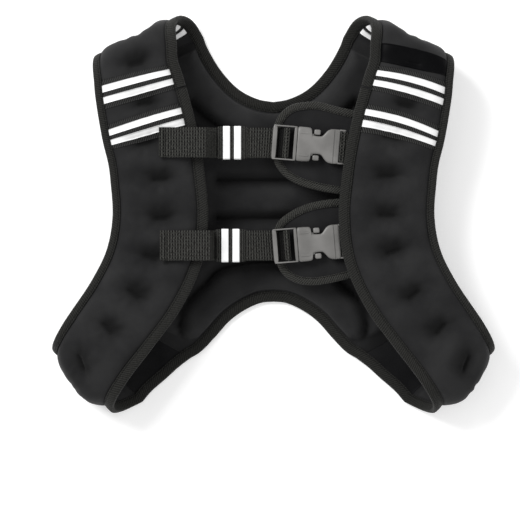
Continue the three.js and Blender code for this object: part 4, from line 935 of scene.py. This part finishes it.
def film_group():
    """Reflective film: fine glass-bead grain and slow creases on Object places."""
    group, given, out = weave_node("bead_film", {"Pitch": 0.0004, "Fuzz": 0.3})
    place, scale = object_place(group, given)
    beads = add_node(group, "ShaderNodeTexVoronoi", {}, {"Vector": place, "Scale": scale})
    crease = add_node(group, "ShaderNodeTexNoise", {"Scale": 60.0, "Detail": 3.0},
                      {"Vector": place}).outputs["Fac"]
    height = add_node(group, "ShaderNodeMix", {}, {"Factor": given.outputs["Fuzz"],
                      2: beads.outputs["Distance"], 3: crease})
    return put_out(group, out, height.outputs[0], crease)


# The twill's colour runs from painted shade in its valleys to painted highlight on its ridges.
twill = cloth_material("twill_tape", (0.005, 0.005, 0.005), (0.038, 0.038, 0.037), 0.8,
                       twill_group(), {"Ribs": 420.0, "Slant": 0.6}, 0.0004, bias=(0.05, 0.95))
reflective = cloth_material("reflective", (0.78, 0.78, 0.78), (0.86, 0.86, 0.86), 0.42,
                            film_group(), {"Pitch": 0.0004, "Fuzz": 0.3}, 0.00005)


def shoulder_tape(name, side, face, middle, width, bow=0.0):
    """A twill tape over the ribbon's pad and its two stripes."""
    spans = {name: (-width / 2, width / 2, TAPE_LOW, TAPE_STAND, twill, "twill_tape")}
    near, far = STRIPE_GAP / 2, STRIPE_GAP / 2 + STRIPE_WIDTH
    for number, start, end in ((1, -far, -near), (2, near, far)):
        spans[f"{name}_stripe_{number}"] = (start, end, TAPE_STAND - 0.1, STRIPE_STAND,
                                            reflective, "reflective")
    for node, (start, end, low, high, material, slot) in spans.items():
        rings, weave = ribbon_layer(side, face, middle + start, middle + end, low, high, bow)
        points, faces = closed_loft(rings)
        piece = new_piece(f"{node}_{side}_band", points, faces, weave, material)
        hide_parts(f"{node}_{side}")


for side in ("left", "right"):
    shoulder_tape("upper_tape", side, "outside", length_at(2), TAPE_WIDTH, TAPE_BOWS[side])
    shoulder_tape("lower_tape", side, "outside", length_at(3), TAPE_WIDTH, TAPE_BOWS[side] + 0.3)
    shoulder_tape("inner_tape", side, "inside", INNER_TAPE_FROM_SEAM, INNER_TAPE_WIDTH)

# Shoulder patch: a rectangle of black woven satin, left plain, that is sewn round its edge
# across the right shoulder, above the upper reflective tape.
satin = cloth_material("satin_patch", (0.0012, 0.0012, 0.0015), (0.0028, 0.0028, 0.0032), 0.48,
                       jersey, {"Pitch": 0.0005, "Fuzz": 0.3}, 0.00005, gloss=0.04)
rings, weave = ribbon_layer("right", "outside", length_at(0), length_at(1), TAPE_LOW, TAPE_STAND)
points, faces = closed_loft(rings)
patch = new_piece("label_patch_satin", points, faces, weave, satin)
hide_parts("label_patch")

# Chest straps: two lengths of heavy ribbed webbing. Each is sewn under the left panel's edge,
# runs through its keeper and under the buckle frame's outer bar, turns round the middle bar
# and comes back over the panel as a tail with a hemmed end.
WEBBING_WIDTH, WEB_HALF = 30.0, 0.7
WEBBING_STEPS, SELVEDGE_ROUND, SHADE_FADE = 26, 0.8, 0.8
LAYER_PITCH = 2.0
STRAP_ROOT = 9.0
KEEPER_LENGTH, KEEPER_DROP = 30.0, 4.5
TAIL_HEM = 4.5
BAR_HALF = 1.0
MALE_LEFT, MALE_RIGHT, MALE_WINDOW, MALE_HALF = -14.5, 10.3, -10.0, 2.6
WRAP_RADIUS = BAR_HALF * 2 ** 0.5 + GAP / 2 + WEB_HALF
# Each strap's height, tail end, keeper and middle bar as shares, its buckle's turn in degrees
# and how far the bar lies below the left panel's edge
STRAPS = [
    ("upper", 0.682, 0.520, 0.189, -0.060, -4.5, 4.5),
    ("lower", 0.4265, 0.516, 0.196, -0.064, 4.5, 6.2),
]


def webbing_group():
    """Heavy webbing: thick ribs across it, a sine of the length along it, crossed by finer
    warp threads that pass over and under. The mask follows their height: painted highlight on the
    crowns and painted shade between them."""
    group, given, out = weave_node("webbing_weave", {"Ribs": 520.0, "Warp": 720.0})
    uv, along, across = woven_place(group)
    waves = []
    for place, key in ((along, "Ribs"), (across, "Warp")):
        turns = maths(group, "MULTIPLY", given.outputs[key], 2 * np.pi)
        waves.append(maths(group, "SINE", maths(group, "MULTIPLY", place, turns)))
    ribs, warp = waves
    threads = add_node(group, "ShaderNodeTexNoise", {"Scale": 620.0, "Detail": 2.0},
                       {"Vector": uv})
    crossed = maths(group, "MULTIPLY_ADD", ribs, 1.15, maths(group, "MULTIPLY", ribs, warp))
    height = maths(group, "MULTIPLY_ADD", threads.outputs["Fac"], 5.0, crossed)
    mask = add_node(group, "ShaderNodeMapRange", {1: 0.4, 2: 4.7}, {0: height}).outputs[0]
    return put_out(group, out, height, mask)


webbing_weave = webbing_group()
# The webbing's colour runs from painted shade between the ribs to painted highlight on their crowns.
webbing = cloth_material("webbing", (0.0012, 0.0012, 0.0011), (0.066, 0.066, 0.06), 0.8,
                         webbing_weave, {"Ribs": 370.0, "Warp": 300.0}, 0.0004, bias=(0.2, 0.95))
# Painted shade: the webbing's colour darkens by up to 90 % inside the buckles' windows.
paint_shade(webbing, 0.9)


def edge_at(y):
    """Place of the left front panel's inner edge at a height on the vest."""
    line = left_place[left_normal[:, -1, 2] > 0.999, -1]
    order = np.argsort(line[:, 1])
    return np.array([np.interp(y, line[order, 1], line[order, n]) for n in range(3)])


def strap_path(knots, step=1.2):
    """Even places along the smooth curve through a strap's knots, each x, z and half
    thickness. A knot's thickness holds up to the next."""
    knots = np.asarray(knots, float)
    dense = smooth_through(knots[:, :2], np.linspace(0, 1, 6000))
    run = np.append(0, np.cumsum(np.linalg.norm(np.diff(dense, axis=0), axis=1)))
    knot_run = run[np.linspace(0, len(run) - 1, len(knots)).round().astype(int)]
    at = np.linspace(0, run[-1], int(run[-1] / step))
    x, z = (np.interp(at, run, dense[:, n]) for n in range(2))
    return at, x, z, np.interp(at, knot_run, knots[:, 2])


def webbing_strap(name, node, knots, slope, place, shaded=None):
    """Webbing carried along its path: a thin flat section with rounded selvedges, its lines
    across the strap sloped where the strap turns with its buckle. shaded is where, in x and
    z, painted shade darkens its colour inside the buckle's window."""
    run, x, z, half = strap_path(knots)
    along = np.stack([np.gradient(x), np.gradient(z)], axis=1)
    along /= np.linalg.norm(along, axis=1)[:, None]
    y = -np.cos(np.linspace(0.06, np.pi - 0.06, WEBBING_STEPS)) * WEBBING_WIDTH / 2
    y *= WEBBING_WIDTH / 2 / np.abs(y).max()
    lift = np.sqrt(1 - (np.abs(y) / (WEBBING_WIDTH / 2)) ** 14 * SELVEDGE_ROUND)
    y, lift = np.append(y, y[::-1]), np.append(lift, -lift[::-1])
    stand = half[:, None] * lift
    px = x[:, None] - along[:, 1:] * stand
    px = px + slope(px) * y
    rings = np.stack([px, y + 0 * px, z[:, None] + along[:, :1] * stand], axis=-1)
    points, faces = closed_loft(place(rings))
    weave = np.stack(np.broadcast_arrays(run[:, None], y[None]), axis=-1).reshape(-1, 2) * 0.001
    strap = new_piece(name, points, faces, weave, webbing)
    if shaded:
        left, right, level = shaded
        within = np.clip(np.minimum(x - left, right - x) / SHADE_FADE, 0, 1) * (z < level)
        mark_shade_paint(strap, np.repeat(within, len(y)))
    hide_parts(node)
    return strap


def panel_top(x, y):
    """Height of the left panel's face and its tapes under a strap's width, at each x."""
    face = ribbon["left"]["outside"][ribbon["left"]["normal"][..., 2] > 0.5]
    face = face[np.abs(face[:, 1] - y) < WEBBING_WIDTH / 2]
    near = np.abs(face[:, 0] - x[:, None]) < 2.2
    return np.where(near, face[:, 2], -np.inf).max(axis=1) + STRIPE_STAND


def wrap_knots(x, z, side, further):
    """Knots of a half turn round a bar, from below to above, and a little further."""
    angle = np.pi * (np.arange(7 + further) / 6 - 0.5)
    return [(x + side * WRAP_RADIUS * np.cos(a), z + WRAP_RADIUS * np.sin(a), WEB_HALF)
            for a in angle]


def taut(x, z):
    """The line a taut strap takes over humps: each place is at least as high as the straight
    line between any two others."""
    share = (x[None, :, None] - x[:, None, None]) / (
        x[None, None] - x[:, None, None] + np.where(x[None, None] == x[:, None, None], 1e9, 0))
    line = z[:, None, None] * (1 - share) + z[None, None] * share
    inside = (share >= 0) & (share <= 1)
    return np.where(inside, line, -np.inf).max(axis=(0, 2))


strap_facts = {}
for name, up, tail, keeper, bar, turn, drop in STRAPS:
    middle = spot([bar, up])
    edges = np.array([edge_at(middle[1] + s * WEBBING_WIDTH) for s in (-0.6, -0.3, 0, 0.3, 0.6)])
    border = edges[:, 0].max() + 3
    lowest, highest = edges[:, 2].min(), edges[:, 2].max()
    bar_level, keeper_level = lowest - drop, lowest - KEEPER_DROP
    keeper_x, tail_x = spot([keeper, up])[0], spot([tail, up])[0]
    root_level = lowest - BINDING_HALF - GAP - WEB_HALF
    near, far = keeper_x - KEEPER_LENGTH / 2 - 1, keeper_x + KEEPER_LENGTH / 2 + 1
    under_bar = bar_level - MALE_HALF - GAP - WEB_HALF
    bar_left, bar_right = middle[0] + MALE_LEFT - 1, middle[0] + MALE_WINDOW + 0.5
    x_over = np.linspace(border, tail_x, 34)
    z_over = np.maximum(panel_top(x_over, middle[1]), highest + BINDING_HALF) + GAP + WEB_HALF
    z_over = taut(x_over, z_over)
    knots = [(edges[2, 0] - STRAP_ROOT, root_level, WEB_HALF), (border, root_level, WEB_HALF)]
    knots += [(x, keeper_level - LAYER_PITCH / 2, WEB_HALF) for x in (near, far)]
    knots += [(x, under_bar - LAYER_PITCH, WEB_HALF) for x in (bar_left, bar_right)]
    knots += wrap_knots(middle[0], bar_level, 1, 2)
    knots += [(x, under_bar, WEB_HALF) for x in (bar_right, bar_left)]
    knots += [(x, keeper_level + LAYER_PITCH / 2, WEB_HALF) for x in (far, near)]
    knots += [(x, z, WEB_HALF) for x, z in zip(x_over, z_over) if x > tail_x + TAIL_HEM + 0.5]
    end_level = z_over[-1] + WEB_HALF
    knots += [(tail_x + TAIL_HEM, end_level, 2 * WEB_HALF), (tail_x, end_level, 2 * WEB_HALF)]
    skew = -np.tan(np.radians(turn))
    strap_facts[name] = {"middle": middle, "bar_level": bar_level, "turn": turn, "drop": drop,
                         "keeper": np.array([keeper_x, middle[1], keeper_level]),
                         "edge_x": edge_at(middle[1])[0]}
    webbing_strap(f"{name}_chest_webbing", f"{name}_chest_strap", knots,
                  lambda x: skew * np.clip((x - far) / (bar_left - far), 0, 1),
                  lambda p: p + [0, middle[1], 0],
                  (middle[0] + MALE_WINDOW - 0.5, middle[0] - WRAP_RADIUS - 0.2, bar_level + 1.5))

# Keepers: an elastic sleeve round both layers of each strap, with two white stripes woven
# across its front.
KEEPER_WALL, KEEPER_SWELL, KEEPER_CORNER = 1.1, 0.25, 1.6
KEEPER_STEPS, KEEPER_ROUND_STEPS = 14, 150
KEEPER_STRIPE, KEEPER_STRIPE_PITCH, KEEPER_STRIPE_WALL = 7.0, 11.0, 0.35
# The elastic's colour runs from painted shade between the ribs to painted highlight on their crowns.
elastic = cloth_material("elastic", (0.006, 0.006, 0.0057), (0.058, 0.058, 0.053), 0.8,
                         webbing_weave, {"Ribs": 430.0, "Warp": 500.0}, 0.0004, bias=(0.2, 0.95))


def rounded_loop(half_y, half_z, corner, count):
    """A closed rounded rectangle about the X axis: half sizes less the corner's radius, plus a
    quarter circle at each corner. It starts at the middle of the underside."""
    turn = np.linspace(0, np.pi / 2, 7)
    signs = [(1, -1, -90), (1, 1, 0), (-1, 1, 90), (-1, -1, 180)]
    runs = [np.stack([sy * (half_y - corner) + corner * np.cos(turn + np.radians(at)),
                      sz * (half_z - corner) + corner * np.sin(turn + np.radians(at))], axis=1)
            for sy, sz, at in signs]
    loop = np.vstack([[0, -half_z], *runs, [0, -half_z]])
    run = np.append(0, np.cumsum(np.linalg.norm(np.diff(loop, axis=0), axis=1)))
    at = np.linspace(0, run[-1], count + 1)[:-1]
    return np.stack([np.interp(at, run, loop[:, n]) for n in range(2)], axis=1), at


def band_round(half_y, half_z, wall, x0, x1, part=None, swell=0.0):
    """A sleeve's rings: a thin rounded section from x0 to x1 carried round the loop; part
    keeps only the places whose height is above the given one."""
    corner = min(half_z, KEEPER_CORNER)
    loop, run = rounded_loop(half_y, half_z, corner, KEEPER_ROUND_STEPS)
    out = np.roll(loop, -1, 0) - np.roll(loop, 1, 0)
    out = np.stack([out[:, 1], -out[:, 0]], axis=1) / np.linalg.norm(out, axis=1)[:, None]
    if part is not None:
        kept = loop[:, 1] > part
        loop, out, run = loop[kept], out[kept], run[kept]
    share = np.linspace(-1, 1, KEEPER_STEPS)
    across = np.linspace(x0, x1, KEEPER_STEPS)
    edge = 1 - np.abs(share) ** 8 * 0.5
    arch = swell * (1 - share ** 2)
    x = np.append(across, across[::-1])
    stand = np.append(wall * edge + arch, (0.02 + arch)[::-1])
    rings = np.stack([np.broadcast_to(x, (len(loop), len(x))),
                      loop[:, :1] + out[:, :1] * stand, loop[:, 1:] + out[:, 1:] * stand], axis=-1)
    weave = np.stack(np.broadcast_arrays(x[None], run[:, None]), axis=-1).reshape(-1, 2) * 0.001
    return rings, weave


inner_y, inner_z = WEBBING_WIDTH / 2 + GAP, LAYER_PITCH / 2 + WEB_HALF + GAP
for name, facts in strap_facts.items():
    half = KEEPER_LENGTH / 2
    rings, weave = band_round(inner_y, inner_z, KEEPER_WALL, -half, half, swell=KEEPER_SWELL)
    points, faces = closed_loft(rings + facts["keeper"], closed_path=True)
    sleeve = new_piece(f"{name}_keeper_sleeve", points, faces, weave, elastic)
    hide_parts(f"{name}_keeper")
    for number, side in ((1, -1), (2, 1)):
        x = side * KEEPER_STRIPE_PITCH / 2
        rings, weave = band_round(inner_y + KEEPER_WALL, inner_z + KEEPER_WALL + 0.2,
                                  KEEPER_STRIPE_WALL, x - KEEPER_STRIPE / 2,
                                  x + KEEPER_STRIPE / 2, part=-0.2)
        points, faces = closed_loft(rings + facts["keeper"])
        stripe = new_piece(f"{name}_keeper_band_{number}", points, faces, weave, reflective)
        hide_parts(f"{name}_keeper_stripe_{number}")

# Buckles: side-release buckles moulded in grey plastic. The male half is a ladder frame with
# two sprung arms that end in buttons; the female half is a hollow body with a waist, whose
# end bar holds the anchor strap.
HALF_WIDTH = 17.3
FRAME_HALF, SHOULDER_START = 2.2, 6.9
RAIL_MIDDLE, RAIL_HALF = 16.6, 0.75
MIDDLE_BAR_HALF = 1.1
TONGUE_END, TONGUE_HALF = 33.0, 3.0
ARM_END, ARM_INNER, ARM_OUTER, ARM_HALF = 27.0, 8.4, 11.4, 2.0
BUTTON_START, BUTTON_END, BUTTON_INNER, BUTTON_OUTER, BUTTON_HALF = 26.6, 33.2, 10.1, 15.6, 3.3
FEMALE_START, BODY_END, FEMALE_END, FEMALE_HALF = 10.6, 52.6, 58.6, 4.0
END_BAR, END_BAR_HALF = 56.1, 1.3
LUG_START, LUG_MIDDLE, LUG_HALF, LUG_RISE = 51.4, 16.5, 0.9, 1.6
RIB_START, RIB_END, RIB_MIDDLE, RIB_HALF, RIB_LOW, RIB_HIGH = 12.2, 22.6, 11.2, 1.0, 3.2, 4.35
# Distance from the middle bar and half width of the female half's body, then its half height
FEMALE_OUTLINE = np.array([
    [10.6, 16.4], [11.4, 17.1], [12.6, 17.3], [18.0, 17.25], [21.8, 17.0], [23.4, 16.5],
    [24.2, 15.4], [24.6, 13.0], [25.0, 10.4], [26.0, 9.6], [28.0, 9.2], [31.0, 9.0], [34.0, 9.1],
    [35.6, 10.0], [37.2, 11.8], [39.0, 14.2], [41.0, 16.0], [43.5, 17.0], [46.0, 17.3],
    [50.0, 17.2], [52.6, 17.1]])
FEMALE_RISE = np.array([
    [10.6, 3.3], [11.6, 3.8], [13.5, 4.0], [26.0, 4.0], [31.0, 3.9], [38.0, 3.3], [45.6, 2.9],
    [46.8, 2.8], [47.3, 2.0], [49.8, 1.9], [50.4, 2.7], [51.6, 2.6], [52.6, 2.0]])


def plastic_group():
    """Moulded plastic: fine spark grain and faint flow clouds on Object places."""
    group, given, out = weave_node("spark_grain", {"Pitch": 0.0003, "Cloud": 30.0})
    place, scale = object_place(group, given)
    grain = add_node(group, "ShaderNodeTexNoise", {"Detail": 3.0, "Roughness": 0.7},
                     {"Vector": place, "Scale": scale})
    cloud = add_node(group, "ShaderNodeTexNoise", {"Detail": 2.0},
                     {"Vector": place, "Scale": given.outputs["Cloud"]})
    return put_out(group, out, grain.outputs["Fac"], cloud.outputs["Fac"])


plastic = cloth_material("buckle_plastic", (0.118, 0.115, 0.11), (0.168, 0.164, 0.158), 0.42,
                         plastic_group(), {"Pitch": 0.00035, "Cloud": 40.0}, 0.00003, gloss=0.5)


def section_ring(count, power):
    """A closed section like a rounded box, unit half sizes: |y|^power + |z|^power = 1."""
    turn = np.linspace(0.04, np.pi - 0.04, count)
    y = -np.sign(np.cos(turn)) * np.abs(np.cos(turn)) ** (2 / power)
    z = np.sin(turn) ** (2 / power)
    return np.append(y, y[::-1]), np.append(z, -z[::-1])


def moulded_bar(along, half_y, half_z, power):
    """A moulded body: rounded-box sections of changing half sizes carried along X."""
    y, z = section_ring(22, power)
    rings = np.stack([along[:, None] + 0 * y, half_y[:, None] * y, half_z[:, None] * z], axis=-1)
    return closed_loft(rings)


def moulded_block(low, high, power=6, steps=24):
    """A block with rounded edges and ends: its sections shrink towards both ends like
    (1 - |s|^power)^(1 / power)."""
    low, high = np.asarray(low, float), np.asarray(high, float)
    centre, half = (low + high) / 2, (high - low) / 2
    s = np.sin(np.linspace(-np.pi / 2, np.pi / 2, steps) * 0.97)
    s /= np.abs(s).max()
    shrink = np.maximum(1 - np.abs(s) ** power, 0.02) ** (1 / power)
    y, z = section_ring(18, power)
    rings = np.stack([s[:, None] * half[0] + 0 * y, shrink[:, None] * y * half[1],
                      shrink[:, None] * z * half[2]], axis=-1)
    return closed_loft(rings + centre)


def side_block(side, start, end, inner, outer, low, high, power):
    """A block beside the buckle's middle line, between two distances from it."""
    near, far = sorted((side * inner, side * outer))
    return moulded_block([start, near, low], [end, far, high], power)


def one_body(bodies):
    """Several closed bodies' points and faces, turned outwards, as one mesh's."""
    start = np.cumsum([0] + [len(p) for p, _ in bodies[:-1]])
    return (np.vstack([p for p, _ in bodies]),
            np.vstack([turned_out(p, f) + s for s, (p, f) in zip(start, bodies)]))


def on_buckle(name):
    """The place of a buckle's own points on the vest: turned about the middle bar."""
    facts = strap_facts[name]
    c, s = np.cos(np.radians(facts["turn"])), np.sin(np.radians(facts["turn"]))
    spin = np.array([[c, s, 0], [-s, c, 0], [0, 0, 1]])
    return lambda p: p @ spin + [*facts["middle"], facts["bar_level"]]


def moulded_piece(name, node, bodies, place):
    """A buckle half from its closed bodies, its sharp turns kept crisp."""
    points, faces = one_body(bodies)
    piece = new_piece(name, place(points), faces, None, plastic)
    piece.data.set_sharp_from_angle(angle=np.radians(40))
    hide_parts(node)


female_x = np.unique(np.concatenate([
    np.linspace(FEMALE_START, BODY_END, 60), FEMALE_OUTLINE[:, 0], FEMALE_RISE[:, 0]]))
female_y = np.interp(female_x, *FEMALE_OUTLINE.T)
female_z = np.interp(female_x, *FEMALE_RISE.T)
female_bodies = [
    moulded_bar(female_x, female_y, female_z, 4.5),
    moulded_block([END_BAR - END_BAR_HALF, -LUG_MIDDLE, -END_BAR_HALF],
                  [FEMALE_END, LUG_MIDDLE, END_BAR_HALF], 4)]
for side in (-1, 1):
    female_bodies.append(side_block(side, LUG_START, FEMALE_END, LUG_MIDDLE - LUG_HALF,
                                    LUG_MIDDLE + LUG_HALF, -LUG_RISE, LUG_RISE, 4))
    female_bodies.append(side_block(side, RIB_START, RIB_END, RIB_MIDDLE - RIB_HALF,
                                    RIB_MIDDLE + RIB_HALF, RIB_LOW, RIB_HIGH, 4))
male_bodies = [
    moulded_block([MALE_LEFT, -HALF_WIDTH, -FRAME_HALF], [MALE_WINDOW, HALF_WIDTH, FRAME_HALF], 5),
    moulded_block([SHOULDER_START, -HALF_WIDTH, -MALE_HALF], [MALE_RIGHT, HALF_WIDTH, MALE_HALF], 5),
    moulded_block([-MIDDLE_BAR_HALF, -RAIL_MIDDLE, -BAR_HALF],
                  [MIDDLE_BAR_HALF, RAIL_MIDDLE, BAR_HALF], 3),
    moulded_block([MALE_RIGHT - 1, -TONGUE_HALF, -ARM_HALF], [TONGUE_END, TONGUE_HALF, ARM_HALF], 5)]
for side in (-1, 1):
    male_bodies.append(side_block(side, MALE_LEFT + 1, MALE_RIGHT - 0.5, RAIL_MIDDLE - RAIL_HALF,
                                  RAIL_MIDDLE + RAIL_HALF, -MALE_HALF, MALE_HALF, 5))
    male_bodies.append(side_block(side, BUTTON_START, BUTTON_END, BUTTON_INNER, BUTTON_OUTER,
                                  -BUTTON_HALF, BUTTON_HALF, 4))
    male_bodies.append(side_block(side, MALE_RIGHT - 1, ARM_END, ARM_INNER, ARM_OUTER,
                                  -ARM_HALF, ARM_HALF, 4))
for name in strap_facts:
    moulded_piece(f"{name}_buckle_male_moulding", f"{name}_buckle_male", male_bodies,
                  on_buckle(name))
    moulded_piece(f"{name}_buckle_female_moulding", f"{name}_buckle_female", female_bodies,
                  on_buckle(name))

# Anchor straps: a short loop of the same webbing from each female half's end bar to under the
# right panel's edge, where both ends are sewn down.
for name, facts in strap_facts.items():
    edge_x = -facts["edge_x"] - facts["middle"][0]
    top, low = facts["drop"] - BINDING_HALF - GAP, -FEMALE_HALF
    end_half = (top - low - GAP) / 4
    near = max(edge_x + 1, END_BAR + WRAP_RADIUS + 1)
    far, dive = near + STRAP_ROOT - 1, edge_x - BINDING_STAND - 1
    knots = [(far, low + end_half, end_half), (near, low + end_half, end_half)]
    knots += wrap_knots(END_BAR, 0, -1, 1)
    knots += [(dive, top - WEB_HALF, WEB_HALF)] if dive > END_BAR + 1 else []
    knots += [(near, top - end_half, end_half), (far, top - end_half, end_half)]
    webbing_strap(f"{name}_anchor_webbing", f"{name}_anchor_strap", knots, lambda x: 0 * x,
                  on_buckle(name))

# Flaps: a soft D of neoprene under each buckle, edged with the same tape and sewn under the
# right panel's edge, from where it hangs a little.
FLAP_DROOP, FLAP_STEPS, FLAP_INWARD_STEPS = 3.0, 120, 26
FLAP_RIPPLE, FLAP_RIPPLE_PITCH = 0.5, 40
# Each flap's outline as shares, from its upper root point round to its lower one
FLAPS = {
    "upper": [[-0.415, 0.757], [-0.376, 0.759], [-0.294, 0.769], [-0.203, 0.781],
              [-0.144, 0.781], [-0.084, 0.774], [-0.039, 0.756], [-0.007, 0.724],
              [0.002, 0.677], [-0.011, 0.632], [-0.052, 0.602], [-0.112, 0.582],
              [-0.203, 0.567], [-0.312, 0.557], [-0.353, 0.555]],
    "lower": [[-0.345, 0.541], [-0.297, 0.540], [-0.216, 0.535], [-0.144, 0.525],
              [-0.071, 0.505], [-0.021, 0.480], [0, 0.435], [-0.016, 0.388], [-0.048, 0.356],
              [-0.107, 0.336], [-0.180, 0.331], [-0.253, 0.336], [-0.353, 0.348],
              [-0.394, 0.350]],
}
flap_cloth = cloth_material("flap_cloth", (0.007, 0.007, 0.0075), (0.013, 0.013, 0.0135), 0.85,
                            jersey, {"Pitch": 0.0009, "Fuzz": 0.4}, 0.0003, sheen=0.06)
# The flap tape's colour, too, runs from painted shade in the ribs' valleys to painted highlight on
# their crowns.
flap_tape = cloth_material("flap_tape", (0.0025, 0.0025, 0.0022), (0.052, 0.052, 0.047), 0.75,
                           edge_weave, {"Ribs": 400.0, "Slant": 0.8, "Stitch": 0.0012}, 0.0005,
                           sheen=0.04, bias=(0.1, 0.95))


def hung(points, root_x, level):
    """Flat places turned down about a flap's outermost root point, which lies at a level."""
    x, tilt = points[..., 0] - root_x, np.radians(FLAP_DROOP)
    return np.stack([root_x + x * np.cos(tilt) - points[..., 2] * np.sin(tilt), points[..., 1],
                     level + x * np.sin(tilt) + points[..., 2] * np.cos(tilt)], axis=-1)


for name, outline in FLAPS.items():
    line = even_line(spot(outline), FLAP_STEPS)
    hang = (line[:, 0].max(), strap_facts[name]["bar_level"] - FEMALE_HALF - GAP - CLOTH_HALF)
    share = np.linspace(0, 1, len(line))[:, None]
    chord = line[0] * (1 - share) + line[-1] * share
    inward = np.sin(np.linspace(0, np.pi / 2, FLAP_INWARD_STEPS))[None, :, None]
    flat = chord[:, None] * (1 - inward) + line[:, None] * inward
    flat[0] = line[0] + (line[1] - line[0]) * 0.02
    flat[-1] = line[-1] + (line[-2] - line[-1]) * 0.02
    soft = FLAP_RIPPLE * soft_waves(flat[..., 0], flat[..., 1], 31, FLAP_RIPPLE_PITCH)
    soft = soft * (1 - inward[..., 0] ** 6)
    upper, lower = (at_height(flat, half + soft) for half in (CLOTH_HALF, -CLOTH_HALF))
    points, faces = closed_loft(hung(np.concatenate([upper, lower[:, ::-1]], axis=1), *hang))
    cloth = new_piece(f"{name}_flap_cloth", points, faces, points[:, :2] * 0.001, flap_cloth)
    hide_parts(f"{name}_flap")
    size = np.ptp(line, axis=0) * 0.001
    inset = line - line_outwards(line, -1) * (FLAP_BINDING + 1)
    facing = np.tile([0.0, 0, 1], (len(line), 1))
    rings, weave = binding_rings(at_height(line, 0), at_height(inset, 0), facing, FLAP_BINDING,
                                 FLAP_BINDING + 1)
    points, faces = closed_loft(hung(rings, *hang))
    tape = new_piece(f"{name}_flap_tape", points, faces, weave, flap_tape)
    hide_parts(f"{name}_flap_binding")

# Studio: a white floor that glows faintly, so that it comes out as white as the photograph's
# ground, an even white sky, a soft key lamp from the upper left and a weaker fill lamp from
# the right.
FLOOR_HALF = 4
FLOOR_GLOW, SKY = 0.24, 0.55
# Each lamp's name, place, width and power
LAMPS = [
    ("key", (-1.5, 1.3, 1.7), 1.2, 62),
    ("fill", (1.6, -0.8, 2.2), 2.0, 22),
]
floor_mesh = bpy.data.meshes.new("floor")
floor_mesh.from_pydata([(x * FLOOR_HALF, y * FLOOR_HALF, 0) for x, y in (
    (-1, -1), (1, -1), (1, 1), (-1, 1))], [], [(0, 1, 2, 3)])
floor = bpy.data.objects.new("floor", floor_mesh)
bpy.context.scene.collection.objects.link(floor)
floor_paint = bpy.data.materials.new("floor")
floor_paint.use_nodes = True
floor_shader = floor_paint.node_tree.nodes["Principled BSDF"]
floor_shader.inputs["Base Color"].default_value = (0.96, 0.96, 0.96, 1)
floor_shader.inputs["Roughness"].default_value = 0.7
floor_shader.inputs["Emission Color"].default_value = (1, 1, 1, 1)
floor_shader.inputs["Emission Strength"].default_value = FLOOR_GLOW
floor_mesh.materials.append(floor_paint)
world = bpy.data.worlds.new("studio")
world.use_nodes = True
world.node_tree.nodes["Background"].inputs["Color"].default_value = (1, 1, 1, 1)
world.node_tree.nodes["Background"].inputs["Strength"].default_value = SKY
bpy.context.scene.world = world
for name, place, size, power in LAMPS:
    data = bpy.data.lights.new(name, "AREA")
    data.size = size
    data.energy = power
    lamp = bpy.data.objects.new(name, data)
    lamp.location = place
    bpy.context.scene.collection.objects.link(lamp)
    lamp.rotation_euler = Vector(place).to_track_quat("Z", "Y").to_euler()
bpy.context.scene.view_settings.view_transform = "Standard"
